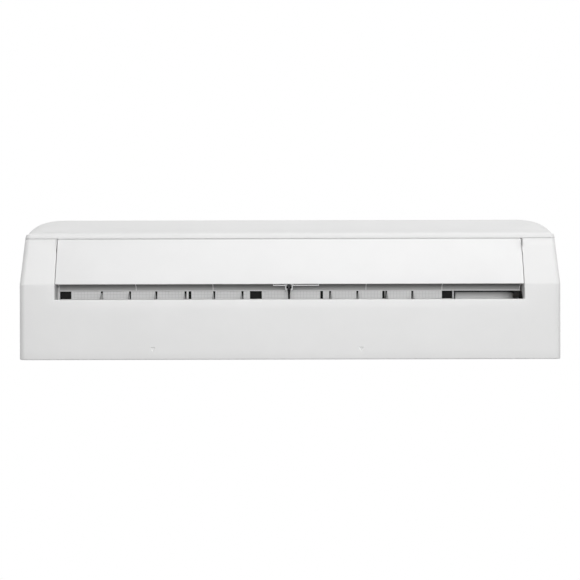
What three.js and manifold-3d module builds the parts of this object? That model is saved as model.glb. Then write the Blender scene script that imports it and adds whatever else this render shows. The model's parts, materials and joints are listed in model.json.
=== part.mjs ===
// Indoor unit of a wall-hung split air conditioner, in millimetres.
// The unit group below is drawn with x to the right, y as depth behind the front face and
// z as height above the underside. The exported group moves it so that the wall is at y = 0
// and the origin lies on the back of the wall plate.

import * as THREE from "three";
import { mergeVertices } from "three/addons/utils/BufferGeometryUtils.js";
import Module from "manifold-3d";

const wasm = await Module();
wasm.setup();

// ---------------------------------------------------------------- driving dimensions

// case, seen from the side
const CASE_WIDTH = 1080;
const CASE_DEPTH = 230;
const CASE_HEIGHT = 283;
const CREASE_HEIGHT = 150;
const SEAM_HEIGHT = 243;
const FACE_LEAN = 42;
const FOOT_RADIUS = 8;
const NOSE_RADIUS = 9;
const NOSE_LENGTH = 14;
const VALLEY_RISE = 2.5;
const TOP_RISE_LENGTH = 56;
const CASE_WALL = 2.5;
const SEAM_GAP = 0.8;

// case, seen from the front
const SIDE_LEAN = 4.5;
const CORNER_WIDTH = 75;
const CORNER_HEIGHT = 38;
const CASING_DEPTH = 198;

// front panel and the intake slot under it
const PANEL_WIDTH = 940;
const PANEL_THICKNESS = 4;
const PANEL_GAP = 1.2;
const PANEL_FLANGE_RUN = 40;
const PANEL_FLANGE_DROP = 13;
const PANEL_RIB_PITCH = 153;
const HINGE_PIN_RADIUS = 1.2;
const HINGE_PIN_LENGTH = 6;
const SLOT_SILL_HEIGHT = 120;
const SILL_RUN = 42;
const RECESS_WALL_DEPTH = 62;
const CATCH_X = -3;
const CATCH_SLIT = 4.4;
const CATCH_PRONG = 5;
const CATCH_DEPTH = 5;
const PULL_LEFT = -34;
const PULL_RIGHT = 58;

// top grille
const GRILLE_WIDTH = 960;
const GRILLE_FRONT = 130;
const GRILLE_BACK = 214;
const GRILLE_THICKNESS = 5;
const GRILLE_FRAME = 6;
const GRILLE_SLATS = 6;
const GRILLE_SLAT_THICKNESS = 2;
const GRILLE_RIBS = 7;

// blower: fan, scroll and outlet
const BLOWER_LEFT = -447;
const BLOWER_RIGHT = 312;
const FAN_DEPTH = 132;
const FAN_HEIGHT = 118;
const FAN_RADIUS = 48;
const FAN_BLADES = 15;
const FAN_BLADE_CHORD = 10;
const FAN_BLADE_THICKNESS = 1.4;
const FAN_DISC_THICKNESS = 3;
const FAN_DISCS = 4;
const FAN_END_GAP = 6;
const SHAFT_RADIUS = 4;
const SCROLL_START_RADIUS = 56;
const SCROLL_START_ANGLE = 35;
const SCROLL_END_RADIUS = 117;
const SCROLL_END_ANGLE = -101;
const SCROLL_STEPS = 16;
const MOULD_WALL = 2.5;
const OUTLET_LEFT = -452;
const OUTLET_RIGHT = 317;
const OUTLET_FRONT = 14.5;
const OUTLET_BACK = 106.5;

// louver
const LOUVER_AXIS_DEPTH = 100;
const LOUVER_AXIS_HEIGHT = 8;
const LOUVER_FRONT = 17;
const LOUVER_BACK = 103;
const LOUVER_THICKNESS = 2.8;
const LOUVER_PIN_RADIUS = 2;
const LOUVER_ARM_RADIUS = 4.5;
const LOUVER_END_GAP = 1.5;

// vertical vanes and their link bars, set square to the front wall of the outlet duct
const DUCT_ANGLE = 36;
const DUCT_LIP_DEPTH = 16;
const DUCT_LIP_HEIGHT = 8;
const DUCT_WALL_LENGTH = 96;
const VANE_COUNT = 10;
const VANE_PIVOT_RUN = 62;
const VANE_FRONT_RUN = 30;
const VANE_BACK_RUN = 70;
const VANE_HEIGHT = 31;
const VANE_THICKNESS = 1.8;
const VANE_PIN_RADIUS = 1.8;
const VANE_HUB_RADIUS = 4;
const VANE_HUB_HEIGHT = 3;
const LINK_ARM = 16;
const LINK_PEG_RADIUS = 1.2;
const LINK_PEG_LENGTH = 4.2;
const LINK_THICKNESS = 1.5;
const LINK_WIDTH = 12;
const LINK_SLOT_WIDTH = 3.8;
const LINK_SLOT_LENGTH = 8.5;
const RUNNING_GAP = 0.5;
const SEAT_GAP = 0.3;

// heat exchanger
const COIL_THICKNESS = 22;
const COIL_FRONT = 53;
const COIL_FOOT = 104;
const COIL_KNEE = 158;
const COIL_UPPER_DEPTH = 56;
const COIL_UPPER_HEIGHT = 168;
const COIL_UPPER_ANGLE = 24.9;
const COIL_UPPER_LENGTH = 84;
const COIL_REAR_DEPTH = 118;
const COIL_REAR_HEIGHT = 243;
const COIL_REAR_ANGLE = 140;
const COIL_REAR_LENGTH = 92;
const COIL_PLATE = 1.6;
const COIL_SHOE = 7;
const TUBE_RADIUS = 3.5;
const TUBE_PITCH = 21;
const BEND_REACH = 8;

// drip tray in front of the fan
const TRAY_FRONT = 47;
const TRAY_BACK = 84;
const TRAY_FLOOR = 86;
const TRAY_FRONT_RIM = 116;
const TRAY_BACK_RIM = 100;
const SPIGOT_RADIUS = 8;
const SPIGOT_BORE = 6;
const SPIGOT_LENGTH = 14;

// filters
const FILTER_THICKNESS = 1.6;
const FILTER_DEPTH = 45.2;
const FILTER_BEND_HEIGHT = 160;
const FILTER_TOP_HEIGHT = 268;
const FILTER_BACK = 204;
const FILTER_LEFT_SPAN = [-443, -81];
const FILTER_RIGHT_SPAN = [-57, 308];
const FILTER_COLUMNS = 9;
const FILTER_BAR = 2.4;
const FILTER_BORDER = 5;
const RAIL_WIDTH = 8;
const RAIL_THICKNESS = 2.6;

// chassis and wall plate
const CHASSIS_BACK_SPACE = 12;
const CHASSIS_EDGE_GAP = 1.5;
const CHASSIS_LEFT_WALL = -471;
const PARTITION_X = 328;
const END_WALL = 3;
const CHANNEL_TOP = 58;
const CHANNEL_FRONT = 197;
const REAR_TRAY_HEIGHT = 150;
const ORIGIN_HEIGHT = 150;
const PLATE_CENTRE_X = -68;
const PLATE_WIDTH = 700;
const PLATE_BOTTOM = 64;
const PLATE_TOP = 236;
const PLATE_SHEET = 1.2;
const PLATE_RIM = 10.5;
const PLATE_HOLE_RADIUS = 3;
const PLATE_HOOK_OFFSET = 209;
const PLATE_HOOK_WIDTH = 40;

// motor, electrics and piping
const MOTOR_RADIUS = 45;
const MOTOR_LEFT = 342;
const MOTOR_LENGTH = 56;
const CLAMP_THICKNESS = 3;
const CLAMP_FOOT = 6;
const STEPPER_RADIUS = 12;
const STEPPER_OFFSET = 8;
const STEPPER_LENGTH = 18;
const BOX_LEFT = 336;
const BOX_RIGHT = 448;
const BOX_FRONT = 54;
const BOX_BACK = 80;
const BOX_BOTTOM = 104;
const BOX_TOP = 234;
const BOX_WALL = 2;
const COVER_ROUND = 12;
const BOARD_THICKNESS = 1.6;
const GAS_PIPE_RADIUS = 6.35;
const LIQUID_PIPE_RADIUS = 3.2;
const GAS_TURN_X = 424;
const LIQUID_TURN_X = 404;
const GAS_RUN_HEIGHT = 22;
const LIQUID_RUN_HEIGHT = 46;
const PIPE_RUN_DEPTH = 213;
const PIPE_DROP_DEPTH = 206;
const PIPE_END_X = 150;
const PIPE_WINDOW_FRONT = 152;
const PIPE_WINDOW_BACK = 194;
const PIPE_WINDOW_BOTTOM = 176;
const PIPE_WINDOW_TOP = 218;
const NUT_LENGTH = 22;

// fasteners of the casing
const SCREW_X = [-505, 505];
const SCREW_DEPTHS = [60, 150];
const SCREW_HEAD_RADIUS = 4;
const SCREW_SHANK_RADIUS = 1.8;
const SCREW_LENGTH = 17;
const BOSS_RADIUS = 7;
const BOSS_HEIGHT = 6.5;

// ---------------------------------------------------------------- sizes worked out

const HALF_WIDTH = CASE_WIDTH / 2;
const SHOULDER_HEIGHT = CASE_HEIGHT - CORNER_HEIGHT;
const VALLEY_DEPTH = FACE_LEAN + NOSE_RADIUS + NOSE_LENGTH;
const NOSE_TOP = SEAM_HEIGHT + 14;
const RECESS_HALF = PANEL_WIDTH / 2 + PANEL_GAP;
const FACE_ANGLE = Math.atan2(FACE_LEAN, SEAM_HEIGHT - CREASE_HEIGHT);
const VANE_PITCH = (BLOWER_RIGHT - BLOWER_LEFT) / VANE_COUNT;
const CHASSIS_BACK = CASE_DEPTH - CHASSIS_BACK_SPACE;
const FAN_LEFT = BLOWER_LEFT + FAN_END_GAP;
const FAN_RIGHT = BLOWER_RIGHT - FAN_END_GAP;
const RADIAN = Math.PI / 180;

// ---------------------------------------------------------------- shape helpers

/** Turns a closed geometry into a solid that can be joined and cut. */
function solid(geometry) {
  const bare = new THREE.BufferGeometry();
  bare.setAttribute("position", geometry.getAttribute("position"));
  if (geometry.index) {
    bare.setIndex(geometry.index);
  }
  const merged = mergeVertices(bare, 1e-4);
  return new wasm.Manifold(new wasm.Mesh({
    numProp: 3,
    vertProperties: new Float32Array(merged.getAttribute("position").array),
    triVerts: new Uint32Array(merged.index.array),
  }));
}

/** Turns a solid back into a geometry that a mesh can show. */
function geometryOf(body) {
  const data = body.getMesh();
  const geometry = new THREE.BufferGeometry();
  geometry.setAttribute("position", new THREE.BufferAttribute(data.vertProperties, 3));
  geometry.setIndex(new THREE.BufferAttribute(data.triVerts, 1));
  geometry.computeVertexNormals();
  return geometry;
}

function union(...bodies) {
  return bodies.flat().reduce((whole, body) => whole.add(body));
}

function cut(body, ...tools) {
  return tools.flat().reduce((rest, tool) => rest.subtract(tool), body);
}

function extrude(outline, length) {
  const shape = new THREE.Shape(outline.map(([u, v]) => new THREE.Vector2(u, v)));
  return new THREE.ExtrudeGeometry(shape, { depth: length, bevelEnabled: false });
}

/** An outline of [depth, height] points, drawn out across the width. */
function across(outline, left, right) {
  const turn = new THREE.Matrix4().set(0, 0, 1, left, 1, 0, 0, 0, 0, 1, 0, 0, 0, 0, 0, 1);
  return solid(extrude(outline, right - left).applyMatrix4(turn));
}

/** An outline of [x, height] points, drawn out along the depth. */
function inwards(outline, front, back) {
  return solid(extrude(outline, back - front).rotateX(Math.PI / 2).translate(0, back, 0));
}

/** An outline of [x, depth] points, drawn upwards. */
function upwards(outline, bottom, top) {
  return solid(extrude(outline, top - bottom).translate(0, 0, bottom));
}

function block(left, right, front, back, bottom, top) {
  const geometry = new THREE.BoxGeometry(right - left, back - front, top - bottom);
  return solid(geometry.translate((left + right) / 2, (front + back) / 2, (bottom + top) / 2));
}

function circle([u, v], radius, sides = 16) {
  return Array.from({ length: sides }, (_, i) => {
    const angle = (2 * Math.PI * (i + 0.5)) / sides;
    return [u + radius * Math.cos(angle), v + radius * Math.sin(angle)];
  });
}

/** Points of an elliptical arc, angles in degrees. */
function arc([u, v], [radiusU, radiusV], from, to, steps) {
  return Array.from({ length: steps + 1 }, (_, i) => {
    const angle = (from + ((to - from) * i) / steps) * RADIAN;
    return [u + radiusU * Math.cos(angle), v + radiusV * Math.sin(angle)];
  });
}

/** Moves every edge of a closed outline inwards by the same distance. */
function inset(outline, distance) {
  const count = outline.length;
  const turning = Math.sign(THREE.ShapeUtils.area(outline.map(([x, y]) => ({ x, y }))));
  return outline.map(([u, v], i) => {
    const [beforeU, beforeV] = outline[(i + count - 1) % count];
    const [afterU, afterV] = outline[(i + 1) % count];
    const a = new THREE.Vector2(u - beforeU, v - beforeV).normalize();
    const b = new THREE.Vector2(afterU - u, afterV - v).normalize();
    const mitre = (turning * distance) / (1 + a.dot(b));
    return [u - (a.y + b.y) * mitre, v + (a.x + b.x) * mitre];
  });
}

/** A strip of even thickness along an open path; the thickness lies to the right of its run. */
function strip(path, thickness, offset = 0) {
  const side = (distance) => path.map(([u, v], i) => {
    const [beforeU, beforeV] = path[Math.max(i - 1, 0)];
    const [afterU, afterV] = path[Math.min(i + 1, path.length - 1)];
    const a = new THREE.Vector2(u - beforeU, v - beforeV).normalize();
    const b = new THREE.Vector2(afterU - u, afterV - v).normalize();
    const first = a.lengthSq() > 0 ? a : b;
    const second = b.lengthSq() > 0 ? b : a;
    const mitre = distance / (1 + first.dot(second));
    return [u + (first.y + second.y) * mitre, v - (first.x + second.x) * mitre];
  });
  return [...side(offset), ...side(offset + thickness).reverse()];
}

/** A rectangle of [depth, height] points standing on a slanted base line. */
function slab([depth, height], angle, length, thickness) {
  const along = [Math.sin(angle * RADIAN), Math.cos(angle * RADIAN)];
  const normal = [along[1], -along[0]];
  const point = (run, side) => [
    depth + along[0] * run + normal[0] * side,
    height + along[1] * run + normal[1] * side,
  ];
  return [point(0, 0), point(length, 0), point(length, thickness), point(0, thickness)];
}

/** A round tube along a smooth path of 3-D points. */
function tube(points, radius, steps, sides = 10) {
  const path = new THREE.CatmullRomCurve3(points.map((p) => new THREE.Vector3(...p)), false, "centripetal");
  const section = new THREE.Shape(circle([0, 0], radius, sides).map(([u, v]) => new THREE.Vector2(u, v)));
  return solid(new THREE.ExtrudeGeometry(section, { steps, extrudePath: path, bevelEnabled: false }));
}

const unit = new THREE.Group();

function plastic(color, roughness = 0.5) {
  return new THREE.MeshStandardMaterial({ color, roughness, metalness: 0 });
}

function metal(color, roughness = 0.4) {
  return new THREE.MeshStandardMaterial({ color, roughness, metalness: 1 });
}

const WHITE = plastic(0xe9e9e7, 0.45);
const PANEL_WHITE = plastic(0xf2f2f0, 0.3);
const MOULD_GREY = plastic(0xb9bcbe, 0.6);
const FAN_BLACK = plastic(0x26282a, 0.55);
const FILTER_WHITE = plastic(0xe4e6e6, 0.7);
const RUBBER = plastic(0x1c1c1c, 0.85);
const BOARD_GREEN = plastic(0x2f6b3c, 0.5);
const PART_BLACK = plastic(0x202124, 0.45);
const ALUMINIUM = metal(0xc5c9cc, 0.35);
const ZINC = metal(0xb4b7b8, 0.45);
const COPPER = metal(0xb87350, 0.35);
const BRASS = metal(0xc2a35c, 0.35);

function place(name, body, material, parent = unit) {
  const mesh = new THREE.Mesh(geometryOf(body), material);
  mesh.name = name;
  parent.add(mesh);
  return mesh;
}

// ---------------------------------------------------------------- outlines of the case

/** Side view of the case, from the foot round the back and over the top to the crease. */
function caseSide(back) {
  const noseCentre = [FACE_LEAN + NOSE_RADIUS, NOSE_TOP - NOSE_RADIUS];
  const valley = [VALLEY_DEPTH, NOSE_TOP + VALLEY_RISE * 0.5];
  const levelDepth = VALLEY_DEPTH + TOP_RISE_LENGTH;
  const climb = CASE_HEIGHT - valley[1];
  const rise = [0.85, 0.66, 0.42, 0.2].map((share) => [
    VALLEY_DEPTH + TOP_RISE_LENGTH * share,
    valley[1] + climb * Math.sin(share * Math.PI * 0.5),
  ]);
  return [
    ...arc([FOOT_RADIUS, FOOT_RADIUS], [FOOT_RADIUS, FOOT_RADIUS], 180, 270, 3),
    [back, 0],
    [back, CASE_HEIGHT],
    [levelDepth, CASE_HEIGHT],
    ...rise,
    valley,
    ...arc(noseCentre, [NOSE_RADIUS, NOSE_RADIUS], 90, 180, 4),
    [FACE_LEAN, SEAM_HEIGHT],
    [0, CREASE_HEIGHT],
  ];
}

/** Front view of the case: upright sides, a slight lean above the crease and round shoulders. */
function caseFront() {
  const shoulder = HALF_WIDTH - SIDE_LEAN;
  const right = [
    [HALF_WIDTH, 0],
    [HALF_WIDTH, CREASE_HEIGHT],
    ...arc([shoulder - CORNER_WIDTH, SHOULDER_HEIGHT], [CORNER_WIDTH, CORNER_HEIGHT], 0, 90, 7),
  ];
  const left = right.map(([x, z]) => [-x, z]).reverse();
  return [...right, ...left];
}

const farBack = CASE_DEPTH + 40;
const outerCase = across(caseSide(farBack), -HALF_WIDTH, HALF_WIDTH)
  .intersect(inwards(caseFront(), -1, farBack + 1));
const innerCase = across(inset(caseSide(farBack + 20), CASE_WALL), -HALF_WIDTH, HALF_WIDTH)
  .intersect(inwards(inset(caseFront(), CASE_WALL), -1, farBack + 30));
const caseShell = cut(outerCase, innerCase);

/** Everything of the case between two heights and two depths. */
function caseZone(front, back, bottom, top) {
  return block(-HALF_WIDTH - 1, HALF_WIDTH + 1, front, back, bottom, top);
}

// ---------------------------------------------------------------- casing, cover, grille

/** Round boss with a sunk seat for a screw head and a hole for its shank. */
function screwBoss(x, depth) {
  return cut(
    upwards(circle([x, depth], BOSS_RADIUS, 12), 0, BOSS_HEIGHT),
    upwards(circle([x, depth], SCREW_HEAD_RADIUS + RUNNING_GAP, 12), -1, BOSS_HEIGHT - CASE_WALL),
    upwards(circle([x, depth], SCREW_SHANK_RADIUS + SEAT_GAP, 10), -1, BOSS_HEIGHT + 1),
  );
}

function makeFrontCasing() {
  const skin = caseShell.intersect(caseZone(-1, CASING_DEPTH, -1, SEAM_HEIGHT - SEAM_GAP));
  const recess = block(-RECESS_HALF, RECESS_HALF, -1, RECESS_WALL_DEPTH, SLOT_SILL_HEIGHT, CASE_HEIGHT);
  const outlet = block(OUTLET_LEFT, OUTLET_RIGHT, OUTLET_FRONT, CASING_DEPTH + 1, -1, CASE_WALL + 1);
  const heads = SCREW_X.flatMap((x) => SCREW_DEPTHS.map((depth) => (
    upwards(circle([x, depth], BOSS_RADIUS - 1, 12), -1, CASE_WALL + 1))));
  const walls = [-1, 1].map((side) => {
    const edges = [side * RECESS_HALF, side * (RECESS_HALF + CASE_WALL)].sort((a, b) => a - b);
    const wall = across(caseSide(farBack), edges[0], edges[1]);
    return wall.intersect(caseZone(-1, RECESS_WALL_DEPTH, CASE_WALL, SEAM_HEIGHT - SEAM_GAP));
  });
  const sockets = across(
    circle(hingeAxis(), HINGE_PIN_RADIUS + SEAT_GAP, 12),
    -PANEL_WIDTH / 2 - HINGE_PIN_LENGTH - SEAT_GAP, PANEL_WIDTH / 2 + HINGE_PIN_LENGTH + SEAT_GAP);
  const sill = block(
    -RECESS_HALF, RECESS_HALF, CASE_WALL / 2, SILL_RUN, SLOT_SILL_HEIGHT - CASE_WALL, SLOT_SILL_HEIGHT);
  const bosses = SCREW_X.flatMap((x) => SCREW_DEPTHS.map((depth) => screwBoss(x, depth)));
  return cut(union(cut(skin, recess, outlet, heads), walls, sill, bosses), sockets);
}

function makeTopCover() {
  const skin = caseShell.intersect(caseZone(-1, CASE_DEPTH - SEAT_GAP, SEAM_HEIGHT, CASE_HEIGHT + 1));
  const overCasing = cut(skin, caseZone(CASING_DEPTH, farBack, SEAM_HEIGHT - 1, SHOULDER_HEIGHT));
  const half = GRILLE_WIDTH / 2;
  const opening = block(-half, half, GRILLE_FRONT, GRILLE_BACK, SHOULDER_HEIGHT, CASE_HEIGHT + 1);
  const ledgeTop = CASE_HEIGHT - GRILLE_THICKNESS - SEAT_GAP;
  const ledge = cut(
    block(-half - 4, half + 4, GRILLE_FRONT - 4, GRILLE_BACK + 4, ledgeTop - 1.5, CASE_HEIGHT - 1),
    block(-half + 3, half - 3, GRILLE_FRONT + 3, GRILLE_BACK - 3, ledgeTop - 3, CASE_HEIGHT),
    block(-half, half, GRILLE_FRONT, GRILLE_BACK, ledgeTop, CASE_HEIGHT),
  );
  const backWall = block(
    -half, half, CASE_DEPTH - CASE_WALL - SEAT_GAP, CASE_DEPTH - SEAT_GAP,
    SEAM_HEIGHT - 2 + SEAT_GAP, CASE_HEIGHT - 1);
  return union(cut(overCasing, opening), ledge, backWall);
}

function makeTopGrille() {
  const half = GRILLE_WIDTH / 2 - RUNNING_GAP;
  const front = GRILLE_FRONT + RUNNING_GAP;
  const back = GRILLE_BACK - RUNNING_GAP;
  const bottom = CASE_HEIGHT - GRILLE_THICKNESS;
  const frame = cut(
    block(-half, half, front, back, bottom, CASE_HEIGHT),
    block(-half + GRILLE_FRAME, half - GRILLE_FRAME, front + GRILLE_FRAME, back - GRILLE_FRAME,
      bottom - 1, CASE_HEIGHT + 1),
  );
  const slatPitch = (back - front - GRILLE_FRAME) / (GRILLE_SLATS + 1);
  const slats = Array.from({ length: GRILLE_SLATS }, (_, i) => {
    const depth = front + GRILLE_FRAME / 2 + slatPitch * (i + 1);
    return block(-half + 1, half - 1, depth - GRILLE_SLAT_THICKNESS / 2, depth + GRILLE_SLAT_THICKNESS / 2,
      bottom + 1, CASE_HEIGHT - 0.6);
  });
  const ribPitch = (2 * half) / (GRILLE_RIBS + 1);
  const ribs = Array.from({ length: GRILLE_RIBS }, (_, i) => {
    const x = -half + ribPitch * (i + 1);
    return block(x - 1.2, x + 1.2, front + 1, back - 1, bottom, CASE_HEIGHT - 2);
  });
  return union(frame, slats, ribs);
}

// ---------------------------------------------------------------- front panel and its catch

/** Middle of the round top edge of the panel, on which it turns. */
function hingeAxis() {
  const inside = PANEL_THICKNESS / 2;
  const below = inside + SEAM_GAP;
  return [
    FACE_LEAN - below * Math.tan(FACE_ANGLE) + inside * Math.cos(FACE_ANGLE),
    SEAM_HEIGHT - below - inside * Math.sin(FACE_ANGLE),
  ];
}

function makeFrontPanel() {
  const half = PANEL_WIDTH / 2;
  const axis = hingeAxis();
  const radius = PANEL_THICKNESS / 2;
  const outward = [-Math.cos(FACE_ANGLE), Math.sin(FACE_ANGLE)];
  const top = [axis[0] + outward[0] * radius, axis[1] + outward[1] * radius];
  const slope = [Math.sin(FACE_ANGLE), Math.cos(FACE_ANGLE)];
  const length = (top[1] - CREASE_HEIGHT) / slope[1];
  const foot = [top[0] - slope[0] * length, CREASE_HEIGHT];
  const face = across(strip([foot, top], PANEL_THICKNESS), -half, half);
  const bead = across(circle(axis, radius, 12), -half, half);
  const pins = across(circle(axis, HINGE_PIN_RADIUS, 8), -half - HINGE_PIN_LENGTH, half + HINGE_PIN_LENGTH);
  const heel = [foot[0] + PANEL_FLANGE_RUN, CREASE_HEIGHT - PANEL_FLANGE_DROP];
  const flange = across(strip([[foot[0] + 0.4, foot[1]], heel], -PANEL_THICKNESS * 0.8), -half + 1, half - 1);
  const ribs = [-2, -1, 0, 1, 2].map((i) => {
    const x = CATCH_X + 2 + i * PANEL_RIB_PITCH;
    return across([
      [foot[0] + 5, foot[1] + 2],
      [heel[0] - 1, heel[1] + 2],
      [heel[0] - 1, heel[1] + 12],
      [foot[0] + 22, foot[1] + 26],
    ], x - 1, x + 1);
  });
  const notchHalf = CATCH_SLIT / 2 + CATCH_PRONG + 1;
  const notch = block(CATCH_X - notchHalf, CATCH_X + notchHalf, foot[0] + 12, heel[0] + 1,
    heel[1] - 1, CREASE_HEIGHT + 0.5);
  const tongueHalf = CATCH_SLIT / 2 - RUNNING_GAP;
  const tongue = across([
    [foot[0] + 9, foot[1] - 1],
    [heel[0] - 1, heel[1] + 4],
    [heel[0] - 1, heel[1] + 8],
    [foot[0] + 9, foot[1] + 5],
  ], CATCH_X - tongueHalf, CATCH_X + tongueHalf);
  const pull = block(PULL_LEFT, PULL_RIGHT, foot[0] + 3.2, foot[0] + 5, CREASE_HEIGHT - 3.4, CREASE_HEIGHT);
  return union(cut(union(face, bead, pins, flange), notch), ribs.filter((_, i) => i !== 2), tongue, pull);
}

/** Two prongs on the sill that grip the tongue of the panel. */
function makePanelCatch() {
  const back = SILL_RUN - 1;
  const front = back - CATCH_DEPTH;
  const half = CATCH_SLIT / 2 + CATCH_PRONG;
  const base = SLOT_SILL_HEIGHT + SEAT_GAP;
  const top = CREASE_HEIGHT - PANEL_FLANGE_DROP + 10;
  return cut(
    block(CATCH_X - half, CATCH_X + half, front, back, base, top),
    block(CATCH_X - CATCH_SLIT / 2, CATCH_X + CATCH_SLIT / 2, front - 1, back + 1, base + 2, top + 1),
  );
}

// ---------------------------------------------------------------- filters

/** Path of a filter: up behind the panel, bent at the knee, then back under the top grille. */
function filterPath() {
  const slopeTop = FILTER_TOP_HEIGHT - 22;
  const slopeRun = (slopeTop - FILTER_BEND_HEIGHT) * Math.tan(COIL_UPPER_ANGLE * RADIAN);
  return [
    [FILTER_DEPTH, SLOT_SILL_HEIGHT + SEAT_GAP],
    [FILTER_DEPTH, FILTER_BEND_HEIGHT],
    [FILTER_DEPTH + slopeRun, slopeTop],
    [FILTER_DEPTH + slopeRun + 26, FILTER_TOP_HEIGHT],
    [FILTER_BACK, FILTER_TOP_HEIGHT],
  ];
}

/** Rows of cells cut through one straight run of a filter. */
function filterCells(from, to, rows, [left, right]) {
  const run = new THREE.Vector2(to[0] - from[0], to[1] - from[1]);
  const length = run.length();
  run.normalize();
  const rowPitch = (length - FILTER_BORDER) / rows;
  const columnPitch = (right - left - 2 * FILTER_BORDER + FILTER_BAR) / FILTER_COLUMNS;
  const cells = [];
  for (let row = 0; row < rows; row += 1) {
    const start = FILTER_BORDER / 2 + rowPitch * row + FILTER_BAR / 2;
    const end = FILTER_BORDER / 2 + rowPitch * (row + 1) - FILTER_BAR / 2;
    const corner = (along, side) => [
      from[0] + run.x * along + run.y * side, from[1] + run.y * along - run.x * side];
    const outline = [corner(start, -4), corner(end, -4), corner(end, 4), corner(start, 4)];
    for (let column = 0; column < FILTER_COLUMNS; column += 1) {
      const x = left + FILTER_BORDER + columnPitch * column;
      cells.push(across(outline, x, x + columnPitch - FILTER_BAR));
    }
  }
  return cells;
}

function makeFilter(span) {
  const path = filterPath();
  const sheet = across(strip(path, FILTER_THICKNESS), span[0], span[1]);
  return cut(
    sheet,
    filterCells(path[0], path[1], 3, span),
    filterCells(path[1], path[2], 2, span),
    filterCells(path[3], path[4], 2, span),
  );
}

/** Rails behind the filters, tied together by a bar at the sill and one at the back. */
function makeFilterGuide() {
  const path = filterPath();
  path[0] = [FILTER_DEPTH, SLOT_SILL_HEIGHT - CASE_WALL];
  const outline = strip(path, RAIL_THICKNESS, FILTER_THICKNESS + SEAT_GAP);
  const spans = [FILTER_LEFT_SPAN, FILTER_RIGHT_SPAN];
  const rails = spans.flatMap(([left, right]) => [
    across(outline, left + 1, left + 1 + RAIL_WIDTH),
    across(outline, right - 1 - RAIL_WIDTH, right - 1),
  ]);
  const depth = FILTER_DEPTH + FILTER_THICKNESS + SEAT_GAP;
  const sillBar = block(CHASSIS_LEFT_WALL + END_WALL + 1, PARTITION_X - 1, depth, depth + RAIL_THICKNESS,
    SLOT_SILL_HEIGHT - CASE_WALL, SLOT_SILL_HEIGHT + 1);
  const backTop = FILTER_TOP_HEIGHT - FILTER_THICKNESS - SEAT_GAP;
  const backBar = block(CHASSIS_LEFT_WALL + END_WALL + 1, PARTITION_X - 1, FILTER_BACK - 6, FILTER_BACK,
    backTop - RAIL_THICKNESS, backTop);
  return union(rails, sillBar, backBar);
}

// ---------------------------------------------------------------- blower

/** Spiral of the scroll behind the fan, from its top edge round to the outlet. */
function scrollPath() {
  const growth = Math.log(SCROLL_END_RADIUS / SCROLL_START_RADIUS)
    / (SCROLL_START_ANGLE - SCROLL_END_ANGLE);
  return Array.from({ length: SCROLL_STEPS + 1 }, (_, i) => {
    const turned = ((SCROLL_START_ANGLE - SCROLL_END_ANGLE) * i) / SCROLL_STEPS;
    const radius = SCROLL_START_RADIUS * Math.exp(growth * turned);
    const angle = (SCROLL_START_ANGLE - turned) * RADIAN;
    return [FAN_DEPTH + radius * Math.cos(angle), FAN_HEIGHT + radius * Math.sin(angle)];
  });
}

/** A point in the outlet duct: run up its front wall from the lip, and height off that wall. */
function ductPoint(run, height) {
  const angle = DUCT_ANGLE * RADIAN;
  return [
    DUCT_LIP_DEPTH + Math.sin(angle) * run + Math.cos(angle) * height,
    DUCT_LIP_HEIGHT + Math.cos(angle) * run - Math.sin(angle) * height,
  ];
}

function makeFanRotor() {
  const centre = [FAN_DEPTH, FAN_HEIGHT];
  const inner = FAN_RADIUS - FAN_BLADE_CHORD;
  const blades = Array.from({ length: FAN_BLADES }, (_, i) => {
    const angle = (2 * Math.PI * i) / FAN_BLADES;
    const at = (radius, turn) => [
      centre[0] + radius * Math.cos(angle + turn),
      centre[1] + radius * Math.sin(angle + turn),
    ];
    const blade = strip([at(inner, 0), at(FAN_RADIUS - 2, 0.14)], FAN_BLADE_THICKNESS);
    return across(blade, FAN_LEFT, FAN_RIGHT);
  });
  const discPitch = (FAN_RIGHT - FAN_LEFT - FAN_DISC_THICKNESS) / (FAN_DISCS - 1);
  const discs = Array.from({ length: FAN_DISCS }, (_, i) => {
    const x = FAN_LEFT + discPitch * i;
    const disc = across(circle(centre, FAN_RADIUS, 20), x, x + FAN_DISC_THICKNESS);
    const isEnd = i === 0 || i === FAN_DISCS - 1;
    return isEnd ? disc : cut(disc, across(circle(centre, inner - 3, 12), x - 1, x + FAN_DISC_THICKNESS + 1));
  });
  const stub = across(circle(centre, SHAFT_RADIUS, 12), BLOWER_LEFT - 8, FAN_LEFT + 1);
  const hub = across(circle(centre, SHAFT_RADIUS + 6, 12), FAN_RIGHT - 1, FAN_RIGHT + 4);
  const hubBore = across(circle(centre, SHAFT_RADIUS + SEAT_GAP, 12), FAN_RIGHT - FAN_DISC_THICKNESS - 1,
    FAN_RIGHT + 5);
  return cut(union(blades, discs, stub, hub), hubBore);
}

function makeFanBearing() {
  const centre = [FAN_DEPTH, FAN_HEIGHT];
  const outside = BLOWER_LEFT - 1 - END_WALL;
  return cut(
    union(
      across(circle(centre, 12), outside - 4, BLOWER_LEFT + 1),
      across(circle(centre, 16), outside - 4, outside - SEAT_GAP),
    ),
    across(circle(centre, SHAFT_RADIUS + SEAT_GAP, 12), outside - 6, BLOWER_LEFT + 2),
  );
}

function makeMotorShaft() {
  const centre = [FAN_DEPTH, FAN_HEIGHT];
  return across(circle(centre, SHAFT_RADIUS, 12), FAN_RIGHT - FAN_DISC_THICKNESS, MOTOR_LEFT + 20);
}

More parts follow.
